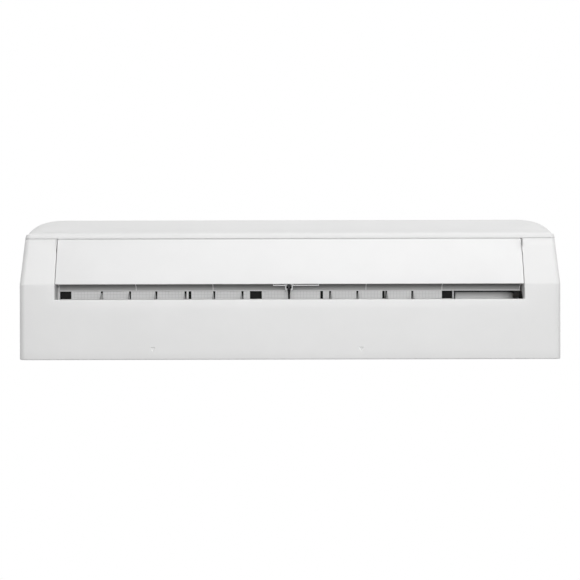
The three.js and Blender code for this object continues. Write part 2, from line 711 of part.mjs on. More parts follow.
function makeFanMotor() {
  const centre = [FAN_DEPTH, FAN_HEIGHT];
  const end = MOTOR_LEFT + MOTOR_LENGTH;
  return cut(
    union(
      across(circle(centre, MOTOR_RADIUS, 28), MOTOR_LEFT + 4, end - 4),
      across(circle(centre, MOTOR_RADIUS - 6, 24), MOTOR_LEFT, end),
      across(circle(centre, 12), MOTOR_LEFT - 6, MOTOR_LEFT + 1),
    ),
    across(circle(centre, SHAFT_RADIUS + SEAT_GAP, 12), MOTOR_LEFT - 7, MOTOR_LEFT + 21),
  );
}

/** Half ring that holds the motor down in its saddle. */
function makeMotorClamp() {
  const centre = [FAN_DEPTH, FAN_HEIGHT];
  const inner = MOTOR_RADIUS + SEAT_GAP;
  const left = MOTOR_LEFT + 14;
  const right = MOTOR_LEFT + MOTOR_LENGTH - 14;
  const ring = cut(
    across(circle(centre, inner + CLAMP_THICKNESS, 32), left, right),
    across(circle(centre, inner, 32), left - 1, right + 1),
    block(left - 1, right + 1, 0, CASE_DEPTH, 0, FAN_HEIGHT + SEAT_GAP),
  );
  const feet = [-1, 1].map((side) => {
    const near = FAN_DEPTH + side * (inner + 0.5);
    const far = FAN_DEPTH + side * (MOTOR_RADIUS + CLAMP_FOOT);
    return block(left, right, Math.min(near, far), Math.max(near, far),
      FAN_HEIGHT + SEAT_GAP, FAN_HEIGHT + SEAT_GAP + CLAMP_THICKNESS);
  });
  return union(ring, feet);
}

/** Front wall of the outlet duct and the drip tray above it, one moulding. */
function makeOutletHousing() {
  const left = BLOWER_LEFT;
  const right = BLOWER_RIGHT;
  const wall = across(strip([ductPoint(0, 0), ductPoint(DUCT_WALL_LENGTH, 0)], -MOULD_WALL), left, right);
  const tray = cut(
    block(left, right, TRAY_FRONT, TRAY_BACK, TRAY_FLOOR, TRAY_FRONT_RIM),
    block(left + MOULD_WALL, right - MOULD_WALL, TRAY_FRONT + MOULD_WALL, TRAY_BACK - MOULD_WALL,
      TRAY_FLOOR + MOULD_WALL, TRAY_FRONT_RIM + 1),
    block(left - 1, right + 1, COIL_FRONT - 1, TRAY_BACK + 1, TRAY_BACK_RIM, TRAY_FRONT_RIM + 1),
  );
  const lipBottom = CASE_WALL + SEAT_GAP;
  const lip = block(left, right, FOOT_RADIUS + SEAT_GAP, DUCT_LIP_DEPTH + 1, lipBottom, lipBottom + MOULD_WALL);
  const post = block(left, right, DUCT_LIP_DEPTH - 2, DUCT_LIP_DEPTH + 1, lipBottom, DUCT_LIP_HEIGHT + 3);
  const holes = vaneSites().map((x) => ductRod(x, VANE_PIVOT_RUN, VANE_PIN_RADIUS + SEAT_GAP, -6, 2));
  const spouts = [[left, -1], [right, 1]].map(([x, side]) => {
    const ends = [x - side * MOULD_WALL, x + side * SPIGOT_LENGTH].sort((a, b) => a - b);
    const centre = [(TRAY_FRONT + TRAY_BACK) / 2 + 4, TRAY_FLOOR + MOULD_WALL + SPIGOT_BORE];
    return {
      pipe: across(circle(centre, SPIGOT_RADIUS), ends[0], ends[1]),
      bore: across(circle(centre, SPIGOT_BORE), ends[0] - 1, ends[1] + 1),
    };
  });
  const trayRoom = block(left + MOULD_WALL, right - MOULD_WALL, TRAY_FRONT + MOULD_WALL, TRAY_BACK - MOULD_WALL,
    TRAY_FLOOR + MOULD_WALL, TRAY_FRONT_RIM);
  return cut(
    union(wall, tray, lip, post, spouts.map((spout) => spout.pipe)),
    spouts.map((spout) => spout.bore), trayRoom, holes);
}

/** Rubber plug in the drain spigot that isn't in use. */
function makeDrainPlug() {
  const centre = [(TRAY_FRONT + TRAY_BACK) / 2 + 4, TRAY_FLOOR + MOULD_WALL + SPIGOT_BORE];
  const end = BLOWER_LEFT - SPIGOT_LENGTH;
  return union(
    across(circle(centre, SPIGOT_BORE - SEAT_GAP), end - 1, end + 8),
    across(circle(centre, SPIGOT_RADIUS), end - 4, end - SEAT_GAP),
  );
}

// ---------------------------------------------------------------- vanes and louver

function vaneSites() {
  return Array.from({ length: VANE_COUNT }, (_, i) => BLOWER_LEFT + VANE_PITCH * (i + 0.5));
}

/** Places a solid drawn with x across, y up the duct wall and z off that wall. */
function intoDuct(geometry, x) {
  const [depth, height] = ductPoint(0, 0);
  return solid(geometry.applyMatrix4(ductMatrix(x, depth, height)));
}

function ductMatrix(x, depth, height) {
  const angle = DUCT_ANGLE * RADIAN;
  const [sine, cosine] = [Math.sin(angle), Math.cos(angle)];
  return new THREE.Matrix4().set(
    -1, 0, 0, x,
    0, sine, cosine, depth,
    0, cosine, -sine, height,
    0, 0, 0, 1,
  );
}

/** A round rod square to the duct wall. */
function ductRod(x, run, radius, from, to, sides = 8) {
  return intoDuct(extrude(circle([0, run], radius, sides), to - from).translate(0, 0, from), x);
}

/** A box in the duct: spans across, along the wall and off the wall. */
function ductBlock(x, halfWidth, runs, heights) {
  const geometry = new THREE.BoxGeometry(2 * halfWidth, runs[1] - runs[0], heights[1] - heights[0]);
  geometry.translate(0, (runs[0] + runs[1]) / 2, (heights[0] + heights[1]) / 2);
  return intoDuct(geometry, x);
}

function makeVane(x, isDriven) {
  const rootHeight = RUNNING_GAP;
  const pinEnd = isDriven ? -MOULD_WALL - 6 : -MOULD_WALL - 1;
  return union(
    ductBlock(x, VANE_THICKNESS / 2, [VANE_FRONT_RUN, VANE_BACK_RUN], [rootHeight + 1, VANE_HEIGHT]),
    ductRod(x, VANE_PIVOT_RUN, VANE_HUB_RADIUS, rootHeight, rootHeight + VANE_HUB_HEIGHT),
    ductRod(x, VANE_PIVOT_RUN, VANE_PIN_RADIUS, pinEnd, rootHeight + 1),
    ductRod(x, VANE_PIVOT_RUN - LINK_ARM, LINK_PEG_RADIUS, VANE_HEIGHT - 3, VANE_HEIGHT + LINK_PEG_LENGTH, 6),
  );
}

/** Slotted bar over the pegs of one group of vanes. */
function makeVaneLink(sites) {
  const run = VANE_PIVOT_RUN - LINK_ARM + 1.4;
  const bottom = VANE_HEIGHT + RUNNING_GAP;
  const heights = [bottom, bottom + LINK_THICKNESS];
  const middle = (sites[0] + sites[sites.length - 1]) / 2;
  const half = (sites[sites.length - 1] - sites[0]) / 2 + 8;
  const bar = ductBlock(middle, half, [run - LINK_WIDTH / 2, run + LINK_WIDTH / 2], heights);
  const slots = sites.map((x) => ductBlock(
    x, LINK_SLOT_WIDTH / 2, [run - LINK_SLOT_LENGTH / 2, run + LINK_SLOT_LENGTH / 2],
    [bottom - 1, bottom + LINK_THICKNESS + 1]));
  return cut(bar, slots);
}

/** Small stepping motor on the far side of the duct wall, on the axis of the vane it turns. */
function makeVaneMotor(x) {
  const near = -MOULD_WALL - SEAT_GAP;
  return cut(
    union(
      ductRod(x, VANE_PIVOT_RUN, STEPPER_RADIUS, near - 16, near, 16),
      ductBlock(x, STEPPER_RADIUS + 5, [VANE_PIVOT_RUN - 4, VANE_PIVOT_RUN + 4], [near - 1.5, near]),
    ),
    ductRod(x, VANE_PIVOT_RUN, VANE_PIN_RADIUS + SEAT_GAP, near - 6.5, near + 1),
  );
}

function makeLouver() {
  const left = OUTLET_LEFT + 5 + LOUVER_END_GAP;
  const right = OUTLET_RIGHT - 5 - LOUVER_END_GAP;
  const span = LOUVER_BACK - LOUVER_FRONT;
  const bow = 0.9;
  const under = [0, 0.25, 0.5, 0.75, 1].map((share) => [
    LOUVER_FRONT + span * share, SEAT_GAP + bow * (2 * share - 1) ** 2]);
  const blade = across(strip(under, -LOUVER_THICKNESS), left, right);
  const axis = [LOUVER_AXIS_DEPTH, LOUVER_AXIS_HEIGHT];
  const arms = [[left, left + 3], [right - 3, right]].map(([from, to]) => union(
    across(circle(axis, LOUVER_ARM_RADIUS), from, to),
    across([
      [axis[0] - LOUVER_ARM_RADIUS - 12, LOUVER_THICKNESS],
      [axis[0] + 2, LOUVER_THICKNESS],
      [axis[0] + 2, axis[1]],
      [axis[0] - 3, axis[1] + 3],
    ], from, to),
  ));
  const pins = [
    across(circle(axis, LOUVER_PIN_RADIUS, 10), left - 5, left + 1),
    across(circle(axis, LOUVER_PIN_RADIUS, 10), right - 1, right + 12),
  ];
  return union(blade, arms, pins);
}

function makeLouverMotor() {
  const axis = [LOUVER_AXIS_DEPTH, LOUVER_AXIS_HEIGHT];
  const left = BLOWER_RIGHT + 1 + END_WALL + SEAT_GAP;
  const can = across(
    circle([axis[0], axis[1] + STEPPER_OFFSET], STEPPER_RADIUS, 20), left, left + STEPPER_LENGTH);
  const ear = block(left, left + 1.5, axis[0] - 4, axis[0] + 4, axis[1] + STEPPER_OFFSET + 8,
    axis[1] + STEPPER_OFFSET + 18);
  const bore = across(circle(axis, LOUVER_PIN_RADIUS + SEAT_GAP, 12), left - 1, left + 11);
  return cut(union(can, ear), bore);
}

// ---------------------------------------------------------------- heat exchanger

function coilOutlines() {
  return {
    lower: [
      [COIL_FRONT, COIL_FOOT],
      [COIL_FRONT + COIL_THICKNESS, COIL_FOOT],
      [COIL_FRONT + COIL_THICKNESS, COIL_KNEE],
      [COIL_FRONT, COIL_KNEE],
    ],
    upper: slab([COIL_UPPER_DEPTH, COIL_UPPER_HEIGHT], COIL_UPPER_ANGLE, COIL_UPPER_LENGTH, COIL_THICKNESS),
    rear: slab([COIL_REAR_DEPTH, COIL_REAR_HEIGHT], COIL_REAR_ANGLE, COIL_REAR_LENGTH, -COIL_THICKNESS),
  };
}

/** Centres of the tube pairs in one slab, spaced along its middle line. */
function tubePairs(outline) {
  const [a, b, c, d] = outline.map(([u, v]) => new THREE.Vector2(u, v));
  const sides = [[a, b, d, c], [b, c, a, d]].sort((p, q) => (
    q[0].distanceTo(q[1]) - p[0].distanceTo(p[1])));
  const [start, end, farStart, farEnd] = sides[0];
  const from = start.clone().add(farStart).multiplyScalar(0.5);
  const to = end.clone().add(farEnd).multiplyScalar(0.5);
  const length = from.distanceTo(to);
  const count = Math.floor(length / (2 * TUBE_PITCH));
  const step = to.clone().sub(from).normalize();
  return Array.from({ length: count }, (_, i) => {
    const middle = (length * (i + 0.5)) / count;
    return [-1, 1].map((side) => from.clone().addScaledVector(step, middle + (side * TUBE_PITCH) / 2));
  });
}

/** A return bend joining two tubes outside the end plate. */
function returnBend([first, second], x, side) {
  const reach = side * BEND_REACH;
  const between = first.clone().add(second).multiplyScalar(0.5);
  const points = [
    [x, first.x, first.y],
    [x + reach * 0.7, first.x * 0.94 + between.x * 0.06, first.y * 0.94 + between.y * 0.06],
    [x + reach, between.x, between.y],
    [x + reach * 0.7, second.x * 0.94 + between.x * 0.06, second.y * 0.94 + between.y * 0.06],
    [x, second.x, second.y],
  ];
  return tube(points, TUBE_RADIUS, 6, 6);
}

/** End plate over all three slabs, with the return bends brazed into it. The pipes leave from the
 * last pair of tubes at the right end, so that pair has no bend there. */
function makeCoilEnd(x, side) {
  const outlines = coilOutlines();
  const inner = x + side * SEAT_GAP;
  const outer = inner + side * COIL_PLATE;
  const span = [inner, outer].sort((a, b) => a - b);
  const knee = [
    [COIL_FRONT + 2, COIL_KNEE - 2],
    [COIL_FRONT + COIL_THICKNESS, COIL_KNEE - 2],
    outlines.upper[3],
    outlines.upper[0],
  ];
  const apex = [outlines.upper[1], outlines.rear[3], outlines.rear[0], outlines.upper[2]];
  const shoe = [
    [COIL_FRONT, TRAY_BACK_RIM + SEAT_GAP],
    [COIL_FRONT + COIL_SHOE, TRAY_BACK_RIM + SEAT_GAP],
    [COIL_FRONT + COIL_SHOE, COIL_FOOT + 1],
    [COIL_FRONT, COIL_FOOT + 1],
  ];
  const plates = [...Object.values(outlines), knee, apex, shoe].map((outline) => across(outline, span[0], span[1]));
  const allPairs = Object.values(outlines).flatMap(tubePairs);
  const bentPairs = side > 0 ? allPairs.slice(0, -1) : allPairs;
  const bends = bentPairs.map((pair) => returnBend(pair, (inner + outer) / 2, side));
  return union(plates, bends);
}

// ---------------------------------------------------------------- chassis and wall plate

/** Outline of the walls that close the two ends of the blower. */
function endWallOutline() {
  return [
    ...strip(scrollPath(), MOULD_WALL, -MOULD_WALL).slice(0, SCROLL_STEPS + 1),
    [OUTLET_BACK + 3, CASE_WALL + 1.5],
    [DUCT_LIP_DEPTH + 4, CASE_WALL + 1.5],
    ductPoint(6, 0),
    ductPoint(DUCT_WALL_LENGTH - 4, 0),
    [TRAY_BACK + 2, TRAY_FLOOR],
    [TRAY_BACK + 2, COIL_KNEE - 12],
    [COIL_REAR_DEPTH - 6, COIL_REAR_HEIGHT - 34],
    [COIL_REAR_DEPTH + 6, COIL_REAR_HEIGHT - 34],
  ];
}

function makeRearChassis() {
  const edge = HALF_WIDTH - CASE_WALL - CHASSIS_EDGE_GAP;
  const back = CHASSIS_BACK;
  const top = SEAM_HEIGHT - 2;
  const rimBack = CASE_DEPTH - SEAT_GAP;
  const rimFront = CASING_DEPTH + CHASSIS_EDGE_GAP;
  const backWall = block(-edge, edge, back - MOULD_WALL, back, CHANNEL_TOP, top);
  const shelf = block(-edge, edge, CHANNEL_FRONT - MOULD_WALL, back, CHANNEL_TOP, CHANNEL_TOP + MOULD_WALL);
  const channelWall = block(
    -edge, edge, CHANNEL_FRONT - MOULD_WALL, CHANNEL_FRONT, CASE_WALL + SEAT_GAP, CHANNEL_TOP + 1);
  const floor = union(
    block(OUTLET_LEFT + 1, OUTLET_RIGHT - 1, OUTLET_BACK, CHANNEL_FRONT, 0, MOULD_WALL - 0.5),
    block(OUTLET_LEFT + 1, OUTLET_RIGHT - 1, CHANNEL_FRONT - MOULD_WALL, CHANNEL_FRONT, 0, MOULD_WALL * 2),
  );
  const topRim = block(-edge, edge, back - 1, rimBack, top - MOULD_WALL, top);
  const sideRims = [-1, 1].map((side) => {
    const span = [side * (edge - MOULD_WALL), side * edge].sort((a, b) => a - b);
    return block(span[0], span[1], rimFront, rimBack, 1, top);
  });
  const scroll = across(strip(scrollPath(), -MOULD_WALL), BLOWER_LEFT - 2, BLOWER_RIGHT + 2);
  const trayFront = scrollPath()[0][0];
  const rearTray = union(
    block(BLOWER_LEFT - 2, BLOWER_RIGHT + 2, trayFront, back, REAR_TRAY_HEIGHT - 1,
      REAR_TRAY_HEIGHT + MOULD_WALL - 1),
    block(BLOWER_LEFT - 2, BLOWER_RIGHT + 2, trayFront - 1, trayFront + MOULD_WALL, REAR_TRAY_HEIGHT - 1,
      REAR_TRAY_HEIGHT + 12),
  );
  const fanAxis = [FAN_DEPTH, FAN_HEIGHT];
  const louverAxis = [LOUVER_AXIS_DEPTH, LOUVER_AXIS_HEIGHT];
  const endWalls = [
    { left: BLOWER_LEFT - 1 - END_WALL, bore: 12 + SEAT_GAP },
    { left: BLOWER_RIGHT + 1, bore: SHAFT_RADIUS + 7 },
  ].map(({ left, bore }) => cut(
    across(endWallOutline(), left, left + END_WALL),
    across(circle(fanAxis, bore, 20), left - 1, left + END_WALL + 1),
    across(circle(louverAxis, LOUVER_PIN_RADIUS + SEAT_GAP, 12), left - 1, left + END_WALL + 1),
  ));
  const leftWall = union(
    block(CHASSIS_LEFT_WALL, CHASSIS_LEFT_WALL + END_WALL, TRAY_BACK, CHANNEL_FRONT, 4, top - 6),
    block(CHASSIS_LEFT_WALL, CHASSIS_LEFT_WALL + END_WALL, TRAY_BACK, back, CHANNEL_TOP, top - 6));
  const partitionFront = FILTER_DEPTH + 1;
  const partition = cut(
    block(PARTITION_X, PARTITION_X + END_WALL, partitionFront, back, SLOT_SILL_HEIGHT + SEAT_GAP, top - 6),
    across(circle(fanAxis, SHAFT_RADIUS + 7, 20), PARTITION_X - 1, PARTITION_X + END_WALL + 1),
    block(PARTITION_X - 1, PARTITION_X + END_WALL + 1, PIPE_WINDOW_FRONT, PIPE_WINDOW_BACK,
      PIPE_WINDOW_BOTTOM, PIPE_WINDOW_TOP),
  );
  const pipeHole = block(LIQUID_TURN_X - 10, GAS_TURN_X + 12, CHANNEL_FRONT + 1, back - MOULD_WALL - 0.5,
    CHANNEL_TOP - 1, CHANNEL_TOP + MOULD_WALL + 1);
  const saddleHalf = MOTOR_RADIUS + CLAMP_FOOT;
  const saddle = cut(
    block(MOTOR_LEFT + 10, MOTOR_LEFT + MOTOR_LENGTH - 10, FAN_DEPTH - saddleHalf, FAN_DEPTH + saddleHalf,
      CHANNEL_TOP, FAN_HEIGHT),
    across(circle(fanAxis, MOTOR_RADIUS + SEAT_GAP, 32), MOTOR_LEFT, MOTOR_LEFT + MOTOR_LENGTH),
  );
  const saddleArm = block(MOTOR_LEFT + 10, MOTOR_LEFT + MOTOR_LENGTH - 10, FAN_DEPTH + saddleHalf - 1, back,
    CHANNEL_TOP, CHANNEL_TOP + 8);
  const boxBracket = block(PARTITION_X, BOX_RIGHT + 70, BOX_BACK + SEAT_GAP, BOX_BACK + 2.5, BOX_BOTTOM + 66,
    BOX_TOP - 8);
  const bracketArm = block(BOX_RIGHT + 67, BOX_RIGHT + 70, BOX_BACK + SEAT_GAP, back, BOX_BOTTOM + 66, BOX_TOP - 8);
  const feet = SCREW_X.map((x) => cut(
    block(x - 8, x + 8, SCREW_DEPTHS[0] - 8, CHANNEL_FRONT - 1, BOSS_HEIGHT + SEAT_GAP, BOSS_HEIGHT + 14),
    SCREW_DEPTHS.map((depth) => (
      upwards(circle([x, depth], SCREW_SHANK_RADIUS + SEAT_GAP, 10), 0, SCREW_LENGTH + 2))),
  ));
  return union(backWall, cut(shelf, pipeHole), channelWall, floor, topRim, sideRims, scroll, rearTray, endWalls, leftWall,
    partition, saddle, saddleArm, boxBracket, bracketArm, feet);
}

function makeWallPlate() {
  const half = PLATE_WIDTH / 2;
  const left = PLATE_CENTRE_X - half;
  const right = PLATE_CENTRE_X + half;
  const front = CASE_DEPTH - PLATE_RIM;
  const sheetFront = CASE_DEPTH - PLATE_SHEET;
  const sheet = block(left, right, sheetFront, CASE_DEPTH, PLATE_BOTTOM, PLATE_TOP);
  const rims = [
    block(left, right, front, CASE_DEPTH, PLATE_BOTTOM, PLATE_BOTTOM + PLATE_SHEET),
    block(left, right, front, CASE_DEPTH, PLATE_TOP - PLATE_SHEET, PLATE_TOP),
    block(left, left + PLATE_SHEET, front, CASE_DEPTH, PLATE_BOTTOM, PLATE_TOP),
    block(right - PLATE_SHEET, right, front, CASE_DEPTH, PLATE_BOTTOM, PLATE_TOP),
  ];
  const hooks = [-1, 1].map((side) => {
    const x = PLATE_CENTRE_X + side * PLATE_HOOK_OFFSET;
    return block(x - PLATE_HOOK_WIDTH / 2, x + PLATE_HOOK_WIDTH / 2, front - 1.2, front + 0.2,
      PLATE_TOP - 14, PLATE_TOP);
  });
  const holeRows = [PLATE_BOTTOM + 22, (PLATE_BOTTOM + PLATE_TOP) / 2 + 18, PLATE_TOP - 22];
  const holeColumns = [-300, -150, 0, 150, 300];
  const holes = holeRows.flatMap((height) => holeColumns.map((offset) => (
    inwards(circle([PLATE_CENTRE_X + offset, height], PLATE_HOLE_RADIUS, 8), sheetFront - 1, CASE_DEPTH + 1))));
  const windows = [-1, 1].map((side) => {
    const x = PLATE_CENTRE_X + side * 225;
    return block(x - 45, x + 45, sheetFront - 1, CASE_DEPTH + 1, PLATE_BOTTOM + 40, PLATE_BOTTOM + 80);
  });
  return cut(union(sheet, rims, hooks), holes, windows);
}

// ---------------------------------------------------------------- electrics

function makeElectricalBox() {
  const front = BOX_FRONT + BOX_WALL + SEAT_GAP;
  const outline = (wall, mouth) => [
    [BOX_LEFT + wall, mouth],
    [BOX_RIGHT - COVER_ROUND - 1, mouth],
    [BOX_RIGHT - wall, mouth + COVER_ROUND + 1 - wall],
    [BOX_RIGHT - wall, BOX_BACK - wall],
    [BOX_LEFT + wall, BOX_BACK - wall],
  ];
  return cut(
    upwards(outline(0, front), BOX_BOTTOM, BOX_TOP),
    upwards(outline(BOX_WALL, front - 1), BOX_BOTTOM + BOX_WALL, BOX_TOP - BOX_WALL),
  );
}

/** Lid over the electrical box, with a round corner on its outer side. */
function makeElectricalCover() {
  const round = COVER_ROUND;
  const edge = BOX_RIGHT + BOX_WALL + SEAT_GAP;
  const outline = [
    [BOX_LEFT, BOX_FRONT],
    ...arc([edge - round, BOX_FRONT + round], [round, round], -90, 0, 5),
    [edge, BOX_BACK],
    [edge - BOX_WALL, BOX_BACK],
    ...arc([edge - round, BOX_FRONT + round], [round - BOX_WALL, round - BOX_WALL], 0, -90, 5),
    [BOX_LEFT, BOX_FRONT + BOX_WALL],
  ];
  return upwards(outline, BOX_BOTTOM, BOX_TOP);
}

function makeControlBoard() {
  const back = BOX_BACK - BOX_WALL - 3;
  const board = block(BOX_LEFT + 6, BOX_RIGHT - 6, back - BOARD_THICKNESS, back, BOX_BOTTOM + 6, BOX_TOP - 6);
  const standoffs = [BOX_LEFT + 12, BOX_RIGHT - 12].flatMap((x) => [BOX_BOTTOM + 12, BOX_TOP - 12].map((z) => (
    inwards(circle([x, z], 2.5, 10), back - 1, BOX_BACK - BOX_WALL - SEAT_GAP))));
  const sockets = [0, 1, 2].map((i) => block(BOX_LEFT + 14 + i * 30, BOX_LEFT + 36 + i * 30,
    back - BOARD_THICKNESS - 7, back - 1, BOX_BOTTOM + 14, BOX_BOTTOM + 22));
  return union(board, standoffs, sockets);
}

function boardFace() {
  return BOX_BACK - BOX_WALL - 3 - BOARD_THICKNESS - SEAT_GAP;
}

function makeCapacitor() {
  return inwards(circle([BOX_LEFT + 28, BOX_TOP - 40], 9, 20), BOX_FRONT + BOX_WALL + 3, boardFace());
}

function makeTransformer() {
  const face = boardFace();
  return union(
    block(BOX_LEFT + 52, BOX_LEFT + 88, face - 12, face, BOX_TOP - 56, BOX_TOP - 24),
    block(BOX_LEFT + 58, BOX_LEFT + 82, face - 14, face - 11, BOX_TOP - 52, BOX_TOP - 28),
  );
}

function makeTerminalBlock() {
  const left = BOX_RIGHT + 14;
  const width = 46;
  const back = BOX_BACK;
  const bottom = BOX_BOTTOM + 76;
  const body = block(left, left + width, back - 14, back, bottom, bottom + 24);
  const bays = [0, 1, 2, 3].map((i) => block(left + 2 + i * 11, left + 11 + i * 11, back - 15, back - 6,
    bottom + 4, bottom + 20));
  return cut(body, bays);
}

/** Bar that holds the supply lead against the bracket. */
function makeCableClamp() {
  const left = BOX_RIGHT + 20;
  const back = BOX_BACK;
  const bottom = BOX_TOP - 24;
  const opening = inwards(circle([left + 17, bottom], 5, 12), back - 11, back + 1);
  return cut(block(left, left + 34, back - 10, back, bottom - 2, bottom + 10), opening);
}

function makeDisplayBoard() {
  const front = CASE_WALL + SEAT_GAP;
  const top = SLOT_SILL_HEIGHT - CASE_WALL - SEAT_GAP;
  return union(
    block(340, 412, front + 6, front + 6 + BOARD_THICKNESS, top - 22, top),
    block(348, 404, front, front + 6.5, top - 16, top - 4),
  );
}

/** Thermistor in a clip on the front edge of the partition. */
function makeAirSensor() {
  const x = PARTITION_X + END_WALL + SEAT_GAP;
  return union(
    block(x, x + 1.5, FILTER_DEPTH + 3, FILTER_DEPTH + 9, 190, 214),
    upwards(circle([x + 3.4, FILTER_DEPTH + 5], 2.2, 12), 186, 218),
  );
}

// ---------------------------------------------------------------- piping

/** From a coil tube over the motor, down behind it and back along the channel at the rear. */
function makePipe([depth, height], turnX, runHeight, radius) {
  const start = BLOWER_RIGHT - 1 + COIL_PLATE + 2 * SEAT_GAP;
  return tube([
    [start, depth, height],
    [start + 20, depth, height],
    [turnX - 34, depth + 2, height],
    [turnX - 10, depth + 8, height - 3],
    [turnX - 1, PIPE_DROP_DEPTH - 6, height - 16],
    [turnX, PIPE_DROP_DEPTH, height - 40],
    [turnX, PIPE_DROP_DEPTH, runHeight + 44],
    [turnX - 1, PIPE_DROP_DEPTH + 2, runHeight + 22],
    [turnX - 10, PIPE_RUN_DEPTH - 1, runHeight + 5],
    [turnX - 28, PIPE_RUN_DEPTH, runHeight],
    [(turnX + PIPE_END_X) / 2, PIPE_RUN_DEPTH, runHeight],
    [PIPE_END_X, PIPE_RUN_DEPTH, runHeight],
  ], radius, 28, 8);
}

/** Flare nut: a hexagon with a round collar and a bore over the end of its pipe. */
function makeFlareNut(height, pipeRadius) {
  const centre = [PIPE_RUN_DEPTH, height];
  const across6 = pipeRadius * 1.35 + 3;
  const left = PIPE_END_X - NUT_LENGTH;
  return cut(
    union(
      across(circle(centre, across6, 6), left, left + NUT_LENGTH * 0.6),
      across(circle(centre, across6 * 0.8, 16), left, left + NUT_LENGTH + 6),
    ),
    across(circle(centre, pipeRadius + SEAT_GAP, 16), PIPE_END_X - 4, left + NUT_LENGTH + 7),
    across(circle(centre, pipeRadius * 0.8, 16), left - 1, PIPE_END_X),
  );
}

function makeScrew(x, depth) {
  const seat = BOSS_HEIGHT - CASE_WALL - SEAT_GAP;
  return cut(
    union(
      upwards(circle([x, depth], SCREW_HEAD_RADIUS), seat - 2.4, seat),
      upwards(circle([x, depth], SCREW_SHANK_RADIUS, 10), seat - 1, SCREW_LENGTH),
    ),
    block(x - 2.4, x + 2.4, depth - 0.5, depth + 0.5, seat - 3, seat - 1.4),
    block(x - 0.5, x + 0.5, depth - 2.4, depth + 2.4, seat - 3, seat - 1.4),
  );
}

// ---------------------------------------------------------------- assembly

place("front_casing", makeFrontCasing(), WHITE);
place("top_cover", makeTopCover(), WHITE);
place("top_grille", makeTopGrille(), WHITE);
place("front_panel", makeFrontPanel(), PANEL_WHITE);
place("panel_catch", makePanelCatch(), WHITE);
place("filter_left", makeFilter(FILTER_LEFT_SPAN), FILTER_WHITE);
place("filter_right", makeFilter(FILTER_RIGHT_SPAN), FILTER_WHITE);
place("filter_guide", makeFilterGuide(), WHITE);

place("rear_chassis", makeRearChassis(), MOULD_GREY);
place("wall_plate", makeWallPlate(), ZINC);
place("outlet_housing", makeOutletHousing(), MOULD_GREY);
place("drain_plug", makeDrainPlug(), RUBBER);

place("fan_rotor", makeFanRotor(), FAN_BLACK);
place("fan_bearing", makeFanBearing(), RUBBER);
place("motor_shaft", makeMotorShaft(), ZINC);
place("fan_motor", makeFanMotor(), ZINC);
place("motor_clamp", makeMotorClamp(), MOULD_GREY);

const coils = coilOutlines();
for (const [name, outline] of Object.entries(coils)) {
  place(`coil_${name}`, across(outline, BLOWER_LEFT + 1, BLOWER_RIGHT - 1), ALUMINIUM);
}
place("coil_end_left", makeCoilEnd(BLOWER_LEFT + 1, -1), COPPER);
place("coil_end_right", makeCoilEnd(BLOWER_RIGHT - 1, 1), COPPER);

place("louver", makeLouver(), WHITE);
place("louver_motor", makeLouverMotor(), ZINC);

const sites = vaneSites();
const groupSize = VANE_COUNT / 2;
const driven = [2, groupSize + 2];
sites.forEach((x, i) => place(`vane_${i + 1}`, makeVane(x, driven.includes(i)), FAN_BLACK));
place("vane_link_left", makeVaneLink(sites.slice(0, groupSize)), FAN_BLACK);
place("vane_link_right", makeVaneLink(sites.slice(groupSize)), FAN_BLACK);
place("vane_motor_left", makeVaneMotor(sites[driven[0]]), ZINC);
place("vane_motor_right", makeVaneMotor(sites[driven[1]]), ZINC);

place("electrical_box", makeElectricalBox(), MOULD_GREY);
place("electrical_cover", makeElectricalCover(), WHITE);
place("control_board", makeControlBoard(), BOARD_GREEN);
place("board_capacitor", makeCapacitor(), PART_BLACK);
place("board_transformer", makeTransformer(), PART_BLACK);
place("terminal_block", makeTerminalBlock(), PART_BLACK);
place("cable_clamp", makeCableClamp(), PART_BLACK);
place("display_board", makeDisplayBoard(), BOARD_GREEN);
place("air_sensor", makeAirSensor(), PART_BLACK);

const [liquidTube, gasTube] = tubePairs(coils.rear).at(-1).map((point) => point.toArray());
place("gas_pipe", makePipe(gasTube, GAS_TURN_X, GAS_RUN_HEIGHT, GAS_PIPE_RADIUS), COPPER);
place("gas_flare_nut", makeFlareNut(GAS_RUN_HEIGHT, GAS_PIPE_RADIUS), BRASS);
place("liquid_pipe", makePipe(liquidTube, LIQUID_TURN_X, LIQUID_RUN_HEIGHT, LIQUID_PIPE_RADIUS), COPPER);
place("liquid_flare_nut", makeFlareNut(LIQUID_RUN_HEIGHT, LIQUID_PIPE_RADIUS), BRASS);

SCREW_X.forEach((x, i) => SCREW_DEPTHS.forEach((depth, j) => {
  place(`casing_screw_${2 * i + j + 1}`, makeScrew(x, depth), ZINC);
}));

unit.position.set(0, -CASE_DEPTH, -ORIGIN_HEIGHT);
const model = new THREE.Group();
model.add(unit);
model.updateMatrixWorld(true);

export default model;
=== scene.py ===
"""Looks of a wall-hung split air conditioner's indoor unit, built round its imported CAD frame.

Shapes are written in the unit's own millimetres: x to the right, d as depth behind the
front face and z as height above the underside. at() turns them into metres in the shared frame.
"""

import json
import math

import bmesh
import bpy
from mathutils import Matrix, Vector


